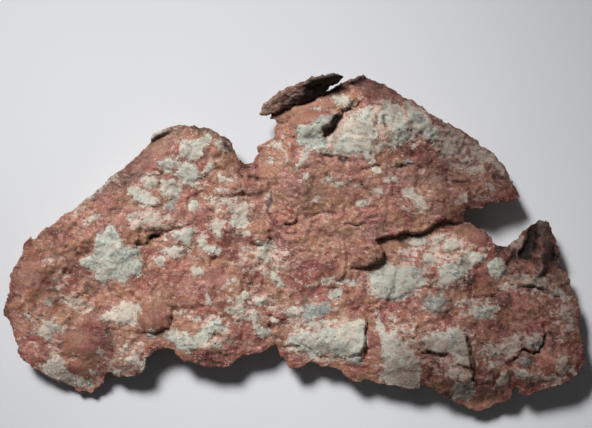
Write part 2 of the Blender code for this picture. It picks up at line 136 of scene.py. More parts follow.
OUTLINE = LEFT_RIM + DOME_RIM + BEHIND_THE_FLAP + FIN_RIM + NOTCH_AND_HORN + RIGHT_RIM + LOWER_RIM

# Broad swells of the whole sheet: centre, half widths and lift
SWELLS = [
    (-48, 14, 26, 22, 2.6), (-86, -22, 16, 20, -1.6), (-52, -38, 20, 14, 1.2), (-12, 12, 9, 34, -2.2),
    (24, 30, 34, 22, 2.4), (52, 22, 22, 16, -1.0), (72, -14, 12, 14, -1.6), (20, -32, 26, 12, 1.8),
    (70, -44, 24, 12, 1.6), (40, 52, 26, 9, -2.0), (-66, 22, 22, 10, -1.6), (-24, -30, 16, 10, -1.0),
    (65, 15, 14, 9, 7.0), (-74, -52, 18, 10, -7.5), (66, -58, 16, 9, -5.5), (97, -34, 8, 16, 2.5),
]

# Lumps and slabs that stand on the face: centre, half widths, turn in degrees and height
LUMPS = [
    (-62, -4, 9, 9, 20, 1.2), (-47, 8, 12, 5, 8, 1.4), (-38.5, 2, 4.5, 4, 0, 1.8),
    (-12, 3, 4.5, 4, 0, 2.2), (-40, 29, 12, 8, 20, 1.4), (-60, -24, 7, 4, 10, 1.4),
    (-49, -26, 6, 6, 0, 1.6), (-75, -16, 5, 4, 0, 1.4), (-78, -46, 8, 4, -10, 1.2),
    (-26, -30, 6, 5, 0, 1.3), (-40, -35, 5, 4, -40, 0.5), (-19, -20, 9, 4, 20, 0.9),
    (8, 42, 7, 4.5, 15, 3.2), (22, 38, 9, 8, 0, 1.3), (38, 44, 9, 7, -30, 1.0), (57, 33, 9, 6, -35, 1.2),
    (37, -13.5, 10, 5.5, 10, 0.8), (61, -4, 8, 4, 0, 0.9), (57, -12, 7, 5, 0, 0.7),
    (71, -10, 3.6, 3.6, 0, 0.5), (9, -33, 13, 5, -8, 1.0), (20, -33, 6, 8, 0, 1.0),
    (36, -42, 8, 7, 0, 0.9), (50, -34, 10, 4, -5, 1.0), (57, -45, 6, 6, 0, 1.1), (66, -23, 7, 4, 20, 0.9),
    (94, -26, 4, 6, 10, 0.9), (81, -36, 6, 5, 0, 1.6), (80.5, -41, 2.6, 2.6, 0, 2.2),
    (79, -45.5, 2.6, 2.6, 0, 1.8), (87, -45, 9, 5, 20, 1.4), (70, -36, 6, 4, 0, 1.0),
    (8, -24.5, 7, 3.5, 20, 1.0), (49, -20, 6, 4, -40, 1.0), (-28, 31, 5, 8, -30, 1.0),
    (-14, -6, 5, 4, 0, 0.8), (-88, -31, 4, 4, 0, 1.3), (-82, -28, 4, 3, 0, 1.1),
    (-94, -18, 4, 6, 10, 1.2), (-84, -10, 5, 4, 30, 1.0), (-72, 2, 5, 4, 35, 1.2),
    (-74, -36, 7, 4, 10, 1.0), (-57, -42, 5, 4, 0, 1.3), (-30, -18, 4, 4, 0, 0.9),
    (2, 20, 6, 4, -10, 1.2), (16, 8, 8, 4, 5, 1.3), (34, 12, 7, 5, 0, 1.2), (50, 14, 6, 4, 0, 1.2),
    (64, 16, 5, 3.5, 0, 1.4), (26, -2, 4, 4.5, 0, 1.8), (14, -10, 6, 4, 0, 1.0), (80, -22, 7, 4, 0, 1.0),
    (64, 3, 5, 3, -30, 1.6), (-24, 4, 6, 3.5, 0, 1.1), (-22, 20, 5, 3.5, 20, 1.1),
    (52, 2, 5, 3.5, 0, 1.0),
]

# Ledges: points, step and reach; on the left of the points the ground drops by the step and climbs back
FIN_OVER_BODY = [
    (59.5, 8.6), (58, 7), (55, 7.3), (52.5, 7.3), (50, 6), (47.5, 4), (46, 3.3), (42, 3), (38, 2.7),
    (35.5, 2), (33, 1.6), (31.5, 2), (28.8, 1.8), (30.5, -0.8), (31.3, -3), (31, -4.8), (30.2, -6.2),
    (28, -7), (25, -8.3), (22, -8.7), (20, -8.6),
]
LEDGES = [
    (FIN_OVER_BODY, 4.2, 7),
    ([(-35, 9.5), (-35.5, 6.5), (-38, 5.5), (-41.5, 5), (-43, 4.5), (-46, 3.5), (-50, 0.2),
      (-57, -0.8)], 0.9, 2.6),
    ([(24, 49.5), (21, 47.7), (18, 46.5), (16, 44.4), (15.2, 42), (14.0, 40), (12, 38.9),
      (9.2, 38.2)], 2.4, 3.4),
    ([(24.8, -25.5), (25.6, -29), (25.3, -33), (24.7, -38.5), (23, -42)], 1.3, 3),
    ([(61.2, -31), (61.3, -36), (62, -39), (63, -46), (63.3, -51)], -0.9, 3.5),
    ([(87, -26), (88, -32), (87.5, -34.5), (86, -38), (83.5, -38.3), (81, -37.3), (78, -40),
      (73, -41)], 1.1, 3),
    ([(30, -35.5), (17, -40.3), (10, -39.5), (7.5, -39), (7, -37), (4, -35.4), (-3, -35.5)], 0.9, 3),
    ([(93, -18.5), (90.5, -18), (88, -16.3), (85, -15.4), (78, -15.3)], 1.4, 4),
    ([(54, -11), (49.5, -13), (46, -15.5), (41.5, -17), (37, -18.8), (28, -19.6)], 0.7, 3),
    ([(-42.5, -21), (-43.2, -30), (-49, -31.6), (-55, -30.5)], 1.2, 3),
    ([(-22, -43), (-15, -38.6), (-9, -35), (-6, -32)], 1.2, 3),
]

# Low ledges that only the fine surface has
FINE_LEDGES = [
    ([(-28, 39.2), (-24, 36.2), (-21.5, 32.5)], 0.8, 1.5),
    ([(5, 27.4), (2.5, 26.4), (0, 25.4)], 0.8, 1.5),
    ([(30.5, 27.9), (27, 27.3), (25, 26), (23.4, 24.3)], 0.9, 1.5),
    ([(22.7, 22.2), (19.8, 20.6)], 0.6, 1.2), ([(46.5, 26), (42, 28), (37, 27), (33.5, 25.4)], 0.9, 1.8),
    ([(61.5, 21.3), (58, 21.6), (55, 22)], 0.7, 1.5), ([(75, 22.8), (69, 22.5)], 0.7, 1.5),
    ([(27.5, 37.5), (27.6, 39.5), (26.6, 40.8)], 0.7, 1.2),
    ([(53.5, -39.7), (50, -38.2), (44.5, -37.3)], 1.2, 2.0),
    ([(62.5, -44.7), (60, -43.3), (56.5, -41.4)], 1.0, 2.0),
    ([(2.5, 8.5), (0, 7.4), (-3.6, 6.7)], 0.7, 1.2), ([(24.5, 7.2), (20, 6.7), (16, 6.4)], 0.7, 1.2),
    ([(-13.7, 17.8), (-18, 17), (-23, 16.2), (-27.5, 16.3)], 0.8, 1.6),
    ([(-30.5, 17.8), (-36.5, 17)], 0.7, 1.4), ([(-10.7, -0.2), (-13, -0.7), (-15.3, 0.2)], 1.0, 1.5),
    ([(-71.5, -17), (-74, -17.8), (-76.5, -18.6)], 1.0, 1.6),
    ([(-45.5, 14), (-50, 12.8), (-52, 13.5), (-54.5, 15.3)], 0.9, 1.6),
    ([(-16.5, 25.4), (-20, 26.4)], 0.6, 1.2), ([(-88, -44.3), (-91.5, -41.8)], 0.8, 1.4),
    ([(-89.5, -33.8), (-95.5, -34)], 0.7, 1.6),
    ([(-15.5, -38.7), (-20, -38.6), (-25, -38.9), (-30.5, -38.5)], 1.0, 1.8),
    ([(26, -22.8), (29, -22), (31, -20)], 0.8, 1.4),
    ([(-4.8, -35), (-8, -34.7), (-9.8, -32.8)], 0.8, 1.4),
    ([(15, 30.4), (13, 30.7), (10, 30.3)], 0.8, 1.4),
    ([(-54, -31), (-60, -30), (-66, -31), (-72, -30)], 0.6, 2.0),
    ([(-20, -25), (-24, -26), (-30, -24.5)], 0.6, 1.6),
    ([(-43.5, 40), (-45.2, 38.6), (-47.5, 37.6), (-50, 36.4)], 1.1, 1.6),
    ([(69, -33), (66, -33.8), (62, -33)], 0.7, 1.6),
    ([(42.8, -28), (42.5, -32.5), (39, -33.2), (34, -26.5)], 0.9, 1.6),
    ([(72, -19), (66, -18.4), (61, -19)], 0.6, 1.6), ([(9, -16), (14, -15.2), (20, -16.8)], -0.6, 1.6),
]

# Cracks: points, half width and depth
CRACKS = [
    (FIN_OVER_BODY[:13], 1.0, 2.5),
    (FIN_OVER_BODY[14:], 0.9, 1.5),
    ([(-57.5, -0.4), (-54, -1.0), (-51, -0.2), (-50.2, 1.4), (-47.5, 2.6)], 0.6, 0.8),
    ([(-52.3, 4.9), (-50, 4.0), (-47.5, 3.9), (-45, 3.5), (-43, 4.4), (-41.5, 5.4), (-38, 5.3),
      (-35.4, 6.4), (-34.8, 9)], 0.55, 0.5),
    ([(15.2, 44.6), (15.2, 42.6), (14.2, 40.4), (12, 38.9), (9.2, 38.2)], 1.6, 3.0),
    ([(-9, 22), (-8.2, 16), (-8, 11), (-6, 8), (-5.5, 5)], 0.6, 1.0),
    ([(-15.5, 22.8), (-12, 21.6), (-8.5, 22)], 0.8, 1.2),
    ([(74, -8.5), (77, -6), (77.2, -2)], 1.1, 2.0),
    ([(-6.5, 43), (-4.5, 42), (-2, 42), (-1, 44)], 0.8, 1.4),
    ([(22.5, 49.8), (20.5, 48), (18.5, 46.6), (16.4, 45.6)], 0.7, 1.2),
]

# Rolled lips that stand up at the rim: points, half width and height
ROLLED_LIPS = [
    ([(-49.8, 35.6), (-49.0, 37.2), (-47, 38.0), (-44.5, 39.2), (-42, 39.8)], 1.3, 1.3),
    ([(18.4, 56.2), (19.6, 56.4), (21.4, 56.6), (23.6, 58.0), (25.2, 57.4)], 1.2, 1.2),
    ([(92.0, 0.5), (92.2, -2), (92.4, -4.8)], 1.0, 1.6),
]

# Narrow cracks and pits that only the fine surface has: points, half width and depth
FINE_CRACKS = [
    ([(-50.8, 0.8), (-49, 2.0), (-46.5, 2.6)], 1.1, 1.4), ([(77, -6), (79.4, -8.2)], 0.7, 1.2),
    ([(70.4, -2.4), (72.6, -3.4)], 1.0, 1.0), ([(61.8, 18.5), (61.6, 15), (61.2, 12.3)], 0.8, 1.6),
    ([(69, 22.6), (72, 22.9), (75, 22.6)], 0.8, 1.5),
    ([(55.5, 21.8), (58.5, 21.5), (61.8, 21.4)], 0.8, 1.4), ([(65.5, 19), (64, 17.4)], 0.7, 1.0),
    ([(-3.2, 6.5), (-0.5, 6.7), (2, 7.4)], 0.85, 1.4), ([(17, 6.2), (21, 6.3), (25.5, 6.9)], 0.7, 1.0),
    ([(17.4, 13), (17.9, 9.4)], 0.65, 0.9), ([(25.5, 8.4), (27.5, 8.9), (29.7, 9)], 0.6, 0.9),
    ([(4, 8.3), (6.5, 8.9), (9.8, 10.6)], 0.6, 0.9), ([(10, 10.5), (14.2, 10.2)], 0.6, 0.8),
    ([(15, 29.7), (17, 28.8), (19.6, 28.4)], 0.9, 1.3), ([(11, 30.3), (15, 30.5)], 0.6, 0.8),
    ([(-13.2, 21.7), (-11.6, 21.5)], 1.0, 1.2), ([(-8.2, 1.0), (-7.8, 1.5)], 0.9, 1.2),
    ([(-8.1, 3.3), (-7.8, 3.8)], 0.8, 1.0), ([(-79, -8.5), (-80, -10), (-79.4, -11.6)], 0.7, 0.9),
    ([(-97.5, -19), (-96.5, -18.8)], 0.8, 0.8), ([(-101, -25), (-97.8, -22.8)], 0.8, 1.0),
    ([(-25.4, -38.5), (-24.6, -38.4)], 0.8, 1.2), ([(-23.3, -39.2), (-22.7, -39.1)], 0.7, 1.0),
    ([(84.4, -43.6), (85.2, -43.3)], 0.9, 1.2), ([(93.5, -48.2), (94.1, -48.4)], 0.8, 1.0),
    ([(76.1, -45), (76, -49.3)], 0.8, 1.4),
    ([(61.2, -31.5), (61.3, -36), (62, -39), (62.8, -42), (63, -46), (63.8, -51)], 0.9, 2.6),
    ([(86.6, -27), (87.3, -30), (88, -32.5), (87.4, -35), (86, -37.8), (83, -38.6), (80.7, -37.6),
      (78.6, -39.8), (75.5, -41.2)], 0.7, 1.4),
    ([(25, -26), (25.7, -29.5), (25.4, -33), (24.8, -38)], 0.6, 1.2),
    ([(77, -14.2), (77.2, -15)], 0.8, 1.2),
    ([(-49.6, 34.8), (-48.4, 35.9), (-46, 36.8), (-43, 38.6)], 0.8, 1.8),
    ([(56, -38), (61.5, -40)], 0.6, 0.7), ([(-64, -45), (-60, -44)], 0.7, 0.8),
    ([(-60, -36), (-57.5, -37)], 0.6, 0.6), ([(27, 37.2), (27.7, 39.3)], 0.5, 0.9),
    ([(79.4, -33), (79.2, -36.8)], 0.7, 1.0), ([(44.6, -38), (50, -38.8), (54.6, -38.8)], 0.6, 0.9),
    ([(83.4, -35.6), (84.8, -37.6)], 0.8, 1.0), ([(40, 30), (44, 31.5)], 0.6, 0.6),
    ([(48, 38), (49.5, 34)], 0.6, 0.7), ([(32, 35.6), (36, 33.4)], 0.6, 0.6),
    ([(19.5, 57), (20.5, 55), (22.5, 54.3)], 0.8, 1.3), ([(23, 54.5), (24.5, 56)], 0.7, 1.0),
    ([(25, 51), (26.5, 50.2)], 0.6, 0.8), ([(68, -44), (70, -47), (69.5, -50)], 0.7, 0.8),
    ([(88.7, -31), (91, -36), (90.4, -40)], 0.7, 0.8), ([(95.5, -32), (96, -38)], 0.6, 0.6),
    ([(73, -23.5), (77, -24.4)], 0.6, 0.6),
]

# The horn by the notch, a cup with a deep hollow and a high right wall: lumps as above, and the hollow's line
HORN_WALL = (87.6, -1.0, 3.6, 9.0, -12, 7.0)
HORN_TIP = (86.6, 6.0, 3.6, 2.6, 0, 3.0)
HORN_LEFT_RIM = (78.5, 0, 2.6, 4.5, -25, 2.6)
HORN_HOLLOW = [(84.0, 5.0), (83.0, 1.0), (82.0, -2.0), (80.8, -5.5)]
HORN_HOLLOW_HALF_WIDTH = 3.4
HORN_HOLLOW_DEPTH = 4.2

# The flap: the top rim torn free and bent up towards the viewer
FLAP_LOWER_EDGE = [
    (-12.2, 45.0, 9.6), (-9.4, 45.0, 10.0), (-6.4, 45.6, 10.2), (-3, 47.4, 10.4), (2, 48.8, 10.4),
    (7, 49.8, 10.0), (10.5, 52.2, 10.0), (14.0, 55.2, 13.0), (17.6, 56.9, 15.0),
]
FLAP_UPPER_EDGE = [
    (-11.8, 45.9, 10.3), (-9.8, 49.6, 12.0), (-7.0, 49.9, 11.6), (-6.2, 52.4, 13.4), (0.0, 54.6, 15.2),
    (4.6, 56.6, 17.0), (10.4, 57.9, 18.4), (14.8, 58.7, 18.2), (17.9, 57.5, 17.2),
]
FLAP_BULGES = [-0.2, -0.9, -1.2, -1.1, -0.6, 0.3, 0.7, 0.5, 0.1]
FLAP_THICKNESS = 2.4
FLAP_THICKNESS_SHARES = [0.4, 0.9, 0.9, 1.0, 1.0, 0.9, 0.8, 0.6, 0.35]
FLAP_LUMPS = 0.75
FLAP_ROWS = 5
FLAP_VOXEL = 0.45
# Above this line, walked from left to right, the flap's face is lit; below it, painted shade makes it nearly
# black
FLAP_LIT_EDGE = [
    (-13, 44.2), (-9, 44.4), (-5.6, 45.0), (-4.6, 48.2), (-2, 49.7), (0.5, 50.6), (3, 52.2), (4.6, 54.0),
    (5.4, 56.4), (9, 57.4), (18, 59),
]

# Feet: dips of the sheet that rest on the floor: centre, half widths and turn
FEET = [
    (-72, -22, 19, 12, 30), (-38, 20, 12, 18, -20), (45, 27, 20, 12, -30), (76, -31, 14, 18, 20),
    (10, -25, 22, 12, 10),
]

# Lumps of the underside that don't reach the floor
BACK_LUMPS = [
    (-40, -22, 12, 7, -20, 2.0), (-12, 8, 7, 12, 15, 1.8), (18, 18, 12, 8, 30, 1.6),
    (48, -8, 14, 6, -15, 1.8),
    (-60, 6, 10, 6, 35, 1.4), (34, -34, 8, 7, 0, 1.6), (66, 24, 7, 5, -30, 1.2), (12, 42, 9, 6, 10, 1.4),
    (-86, -34, 6, 6, 0, 1.2), (92, -18, 4, 8, 10, 1.2), (56, -46, 10, 5, -10, 1.6),
]

# Broken plates: size, height between neighbours and tilt, coarse first
PLATES = [(9.0, 1.2, 0.16), (5.0, 0.8, 0.16)]
FINE_PLATES = [(2.9, 0.30, 0.16), (1.5, 0.16, 0.16)]

# Grains grown on the rim and round the crust
GRAINS_PER_SQUARE_MM = 0.45  # where the surface's grain_share is 1
SMALLEST_GRAIN = 0.3
LARGEST_GRAIN = 0.95
GRAIN_SEED = 7
FULL_TURN = 6.28  # radians, near enough for a random turn

# Thin flakes laid over one another: stretch along each axis, size of a field, levels and height of a step
FLAKE_STRETCH = (0.62, 1.0)
FLAKE_SIZE = 15.0
FLAKE_LEVELS = 3.4
FLAKE_STEP = 0.3

CRUST_REACH = 4.0  # how far from a patch's outline the distance is measured
BARE_TONE = 0.3

# Crust tones: 0 cream, 0.3 grey-beige, 0.55 pale grey-green, 0.72 pale mint, 1 bluish grey
# Large crust patches of the left half: tone and outline
LEFT_CRUST = [
    (0.62, [(-69.5, 1.2), (-67.7, 4.1), (-64.8, 5.3), (-61.9, 4.7), (-60.7, 3), (-59.9, 0.6),
            (-58.4, -1.1), (-56.1, -0.5), (-54.3, -1.7), (-53.1, -5.2), (-53.1, -8.7), (-54.3, -11),
            (-57.8, -12.2), (-57.8, -15.1), (-59.6, -13.9), (-62.5, -12.2), (-64.8, -13.9),
            (-67.7, -14.5), (-70.6, -12.8), (-69.5, -10.4), (-73.6, -8.7), (-74.1, -6.9), (-71.2, -4),
            (-69.2, -1.1)]),
    (0.05, [(-68.3, -25.6), (-65.4, -23.9), (-62.5, -24.4), (-61.9, -20.9), (-59.6, -20.4),
            (-52.6, -20.6), (-53.1, -23.9), (-54.6, -24.4), (-54.9, -27.9), (-58.4, -28.8),
            (-62.5, -27.9), (-67.7, -26.8)]),
    (0.3, [(-89.9, -30.3), (-87, -27.9), (-82.9, -27.6), (-79.7, -29.1), (-80.6, -31.4), (-83.5, -31.4),
           (-85.8, -33.8), (-88.1, -32.6)]),
    (0.0, [(-88.6, -43), (-85.4, -41), (-82.9, -39.2), (-79.8, -39.4), (-80.2, -43), (-78, -45.6),
           (-74.6, -47), (-70.8, -48.6), (-70.4, -51), (-73.8, -51.2), (-78.6, -50), (-82.6, -48.4),
           (-85.8, -46.8), (-88.2, -45)]),
    (0.25, [(-59, -40.2), (-54.9, -39.3), (-52, -41.9), (-52.3, -44.9), (-53.7, -44.9), (-54.9, -41.9),
            (-57.2, -41.4)]),
    (0.45, [(-38.9, 35.9), (-32.7, 36.2), (-29.2, 39.1), (-28.6, 35.6), (-32.7, 29.8), (-35.1, 29.2),
            (-38.2, 29.6), (-39.8, 33.3)]),
    (0.3, [(-27.5, 35.6), (-22.8, 35.1), (-21.9, 32.7), (-23.4, 31.9), (-25.7, 33), (-27.2, 33.6)]),
    (0.5, [(-48, 28), (-44.4, 30.4), (-40.3, 29.6), (-39.8, 27.2), (-42.2, 25), (-46.4, 25.2)]),
    (0.55, [(-40.6, 28.2), (-34.0, 27.6), (-32.6, 25), (-33.8, 20.4), (-38.2, 20.4), (-41, 23)]),
    (0.1, [(-53.2, 22), (-49.8, 24.8), (-46.6, 22.6), (-46.6, 19.8), (-49.1, 18.4), (-52.2, 19)]),
    (0.2, [(-46.2, 21.6), (-41.8, 22.2), (-38.4, 20.2), (-38.4, 17), (-40.2, 15.2), (-44.6, 15.6),
           (-46.6, 17.6)]),
    (0.55, [(-57.8, 19.3), (-54.3, 19.9), (-50.8, 18.1), (-47.3, 14.9), (-46.7, 13.5), (-50.2, 12.9),
            (-52.6, 13.2), (-54.9, 14.1), (-57.2, 17.6)]),
    (0.9, [(-46.1, 14.4), (-41.5, 14.6), (-41.5, 11.7), (-45, 11.7)]),
    (0.55, [(-36.8, 14.9), (-33.9, 15.2), (-32.7, 12.9), (-34.5, 11.4), (-36.5, 11.7)]),
    (0.3, [(-26.3, 24), (-24.6, 24.3), (-23.4, 22.8), (-20.5, 22.5), (-21.1, 21.1), (-25.7, 21.1)]),
    (0.15, [(-28.1, 14.1), (-23.4, 15.5), (-20.5, 14.1), (-15.2, 13.5), (-15.5, 5.9), (-17.6, 4.7),
            (-19.8, 5.6), (-19.4, 9), (-20.2, 11.2), (-22.8, 12.3), (-25.7, 13.5)]),
    (0.2, [(-29.8, 6.5), (-26.3, 7.9), (-23.4, 7.1), (-25.7, 4.7), (-24.6, 1.8), (-26.3, 1.2),
           (-27.5, 4.2)]),
    (0.5, [(-42.6, 2.4), (-40.3, 3.9), (-35.1, 5.6), (-34.5, 3.6), (-35.1, 0.1), (-37.4, -0.5),
           (-41.5, 0.1)]),
    (0.2, [(-33.9, 2.4), (-30.4, 0.6), (-31, -1.7), (-33.9, -1.7)]),
    (0.6, [(-30.4, -27.4), (-28.1, -26.8), (-25.7, -25.6), (-23.4, -28.5), (-23.4, -30.9), (-26.9, -31.4),
           (-29.2, -33.8), (-33.3, -36.1), (-34.5, -37.9), (-37.4, -38.4), (-40.3, -37.3), (-42.1, -34.4),
           (-45.6, -32.6), (-45, -30.9), (-42.1, -29.7), (-39.7, -31.4), (-35.1, -32), (-33.3, -30.9),
           (-31.6, -29.7)]),
    (0.35, [(-21.1, -20.4), (-19.3, -18), (-16.4, -16.9), (-15.2, -18.6), (-17.6, -20.4),
            (-20.5, -20.9)]),
    (0.3, [(-13.5, -23.9), (-11.7, -23.9), (-12.9, -26.8), (-11.7, -29.7), (-7.1, -30.9), (-8.2, -32.3),
           (-11.7, -32.6), (-14.1, -30.3), (-14.6, -27.4)]),
    (0.4, [(-8.2, -11), (-6.5, -9.9), (-5.3, -12.2), (-2.4, -14.5), (-3, -16.3), (-5.9, -14.5),
           (-7.6, -13.4)]),
    (0.3, [(-13.3, 0.6), (-7.4, 0.6), (-7, -1), (-8.6, -3), (-8.2, -5.8), (-11.4, -6.3), (-12.4, -3.4)]),
]

# Large crust patches of the right half: tone and outline
RIGHT_CRUST = [
    (0.74, [(8.1, 43.8), (10.4, 45), (13.4, 44.4), (13.9, 42.6), (12.2, 40.9), (9.9, 39.1), (8.7, 38),
            (6.4, 38.6), (6.4, 40.9)]),
    (0.64, [(1.4, 40.6), (6.4, 40.4), (9.4, 38), (11.2, 36.2), (11.6, 33), (9.3, 31.6), (6, 31.8),
            (1.8, 33.6), (1.2, 37.4)]),
    (0.3, [(2.3, 31.6), (4.6, 32.1), (4.9, 29.2), (2.9, 26.9), (0.5, 26.3), (2.3, 28.6)]),
    (0.3, [(13.4, 34.5), (15.7, 38), (18, 40.9), (20.4, 45), (22.7, 46.7), (26.2, 47.9), (27.9, 45),
           (29.1, 40.9), (29.7, 36.8), (27.4, 33.9), (26.5, 31.6), (27.9, 29.2), (26.8, 27.5),
           (25.6, 29.2), (25, 32.1), (23.3, 31.6), (20.4, 30.4), (16.9, 30.4), (13.9, 31.6)]),
    (0.6, [(29.6, 43.2), (31.4, 48.5), (35.5, 48.5), (37.3, 45), (40, 42), (40.5, 37), (37.3, 34.5),
           (34.4, 36.2), (32.6, 39.1), (31.4, 40.9)]),
    (0.4, [(13.6, 51.4), (19.4, 51), (21, 48.8), (18, 47.4), (15.2, 48.6)]),
    (0.35, [(39, 48.5), (44, 47), (48, 42), (46.5, 38), (43, 38.5), (40.5, 42)]),
    (0.4, [(47, 42), (51, 40), (50.5, 36.5), (47, 35.5), (45.5, 37.5)]),
    (0.3, [(50, 34.5), (57, 35), (58.5, 32), (56, 29.5), (52, 31)]),
    (0.3, [(61.5, 34.5), (66, 32), (70, 29.5), (68, 28), (63, 30.5)]),
    (0.15, [(38, 18.4), (41.8, 19), (45.6, 16.5), (46.6, 12.1), (44.3, 11.4), (41.8, 14), (38.6, 16.5)]),
    (0.68, [(26.6, -11.3), (29.1, -9.4), (31.6, -7.5), (35.4, -8.2), (39.9, -8.2), (44.9, -9.4),
            (45.6, -13.9), (41.8, -17), (38.6, -18.9), (34.8, -19.6), (29.1, -19.6), (26.6, -18.3),
            (27.8, -15.8), (27.2, -13.2)]),
    (0.4, [(50.7, -8.6), (53.6, -6.8), (56.5, -8.6), (58.8, -4.5), (62.3, -3.9), (67, -3.9), (67.5, -6.3),
           (64.1, -7.4), (61.7, -9.2), (59.4, -11.5), (56.5, -13.8), (53.6, -16.1), (50.1, -14.4),
           (51.3, -11.5)]),
    (0.55, [(61.6, -21.5), (68.1, -20.9), (72, -22.2), (68.1, -26.1), (63.6, -26.7), (61.6, -24.8)]),
    (0.15, [(79, -11.5), (83.4, -11.7), (84.2, -14.6), (80.5, -15), (78.6, -13.6)]),
    (0.4, [(83.9, -11.8), (86, -12.8), (89, -15.6), (93, -16.9), (96.8, -19), (95.8, -20), (91.8, -18.4),
           (87, -17), (84.6, -14.6)]),
    (0.35, [(93.4, -22), (95.4, -21.5), (97.8, -24), (98.4, -30), (96.2, -31.6), (94.2, -28.4),
            (92.4, -25.2)]),
    (0.52, [(-3.2, -35.4), (-2, -33.2), (3, -31.2), (10.9, -29.5), (14.3, -29.8), (18.8, -27), (25, -27),
            (25, -34.8), (23.8, -42.2), (18.8, -42.2), (16.5, -39.3), (13.2, -38.8), (8.1, -38.8),
            (6.4, -41), (4.7, -38.8), (0.2, -36)]),
    (0.3, [(-3.4, -24.9), (0.5, -23.6), (3, -22.4), (3, -27.5), (8, -27.6), (13, -26.4), (13.6, -28.2),
           (8, -29.4), (2, -28.6), (0.6, -26)]),
    (0.94, [(3, -27.5), (3, -22.5), (6.4, -21.3), (12.6, -21.3), (12.6, -24.7), (8.7, -27),
            (5.8, -27.5)]),
    (0.45, [(27.8, -23.6), (30, -24.7), (31.7, -30.3), (35.1, -30.9), (39.6, -35.4), (44.1, -40.5),
            (44.1, -50), (36.8, -51.2), (30, -47.8), (31.2, -39.9), (30, -34.3), (28.4, -27.5)]),
    (0.5, [(44.7, -31.9), (52.5, -31.3), (54.5, -29.3), (58.4, -30), (61, -33.9), (61.4, -39.1),
           (61.6, -42.3), (56.4, -41.7), (53.8, -37.8), (49.3, -38.4), (44.7, -37.1)]),
    (0.5, [(55.8, -48.8), (62.3, -47.5), (63.3, -52.7), (61, -55.3), (57.1, -55.3), (55.1, -53.4)]),
    (0.1, [(53.8, -42.3), (58, -42.4), (62.3, -44.9), (62.5, -47.5), (57.7, -48.2), (54, -45.6)]),
    (0.25, [(64.5, -37.4), (66.4, -34.2), (69, -35.5), (74.1, -35.5), (76.7, -31.7), (79.3, -32.3),
            (78.6, -36.8), (75.4, -40.7), (70.9, -38.7), (67.7, -38.7)]),
    (0.2, [(70.4, -48.2), (72.4, -45.2), (75.2, -44.6), (75, -49), (72.2, -50.6)]),
    (0.85, [(80.5, -33.6), (84, -32.8), (87.4, -34), (86.6, -36.4), (83.6, -37.8), (80.8, -36.4)]),
    (0.1, [(85.7, -45.8), (91.8, -45.9), (92.2, -48.3), (86.4, -48.5)]),
    (0.25, [(93, -40.6), (95.4, -41), (95.2, -44.6), (93.6, -45)]),
]
CRUST_PATCHES = LEFT_CRUST + RIGHT_CRUST

# Places where a patch changes its tone: centre, half widths, turn in degrees and tone
CRUST_TONES = [
    (-57, -5.5, 4.2, 4.0, 0, 0.78), (-64.5, 2, 3.5, 3.5, 0, 0.66), (-66, -13, 5, 1.6, 0, 0.5),
    (-36.8, -34.9, 2.6, 2.4, 0, 0.72), (-26, -28.8, 2.4, 2.6, 0, 0.66), (33, -13, 6, 3.6, 0, 0.72),
    (43, -11, 2.6, 2.8, 0, 0.86), (28.5, -17.5, 2.4, 2, 0, 0.2), (20.5, 41, 4, 5, 30, 0.08),
    (19, 33, 5, 2.6, 0, 0.5), (22, 31.6, 2.6, 1.4, 0, 0.9), (34, 44, 3.4, 4, 0, 0.6),
    (38.5, 38, 2.4, 2.4, 0, 0.84), (3, -34, 4.6, 2.4, 0, 0.64), (21, -35, 3.4, 6, 0, 0.42),
    (23, -40, 1.6, 2.6, 0, 0.86), (55, -34.5, 2.6, 3.4, 0, 0.8), (36, -47, 6, 4, 0, 0.25),
    (37, -40, 4, 4, 0, 0.55), (61.1, -4.6, 2.4, 1.4, 0, 0.72), (56, -9, 2.4, 2.6, 0, 0.9),
    (52.6, -13, 2.2, 2.4, 0, 0.5), (66, -22.6, 3.2, 1.4, 0, 0.7), (96, -26.5, 2, 3, 0, 0.15),
    (50.5, -34.6, 3.6, 2.2, 0, 0.35), (10.5, 42.6, 2.6, 1.6, 0, 0.8), (-76, -48, 9, 3, -15, 0.04),
    (44, 43, 3, 2, -30, 0.9), (32.5, 38, 2.4, 3, 20, 0.12), (49, 38, 3, 2, -30, 0.75),
    (24.5, 44, 2, 3, -30, 0.6), (17, 36.5, 2, 2.6, -30, 0.75),
]

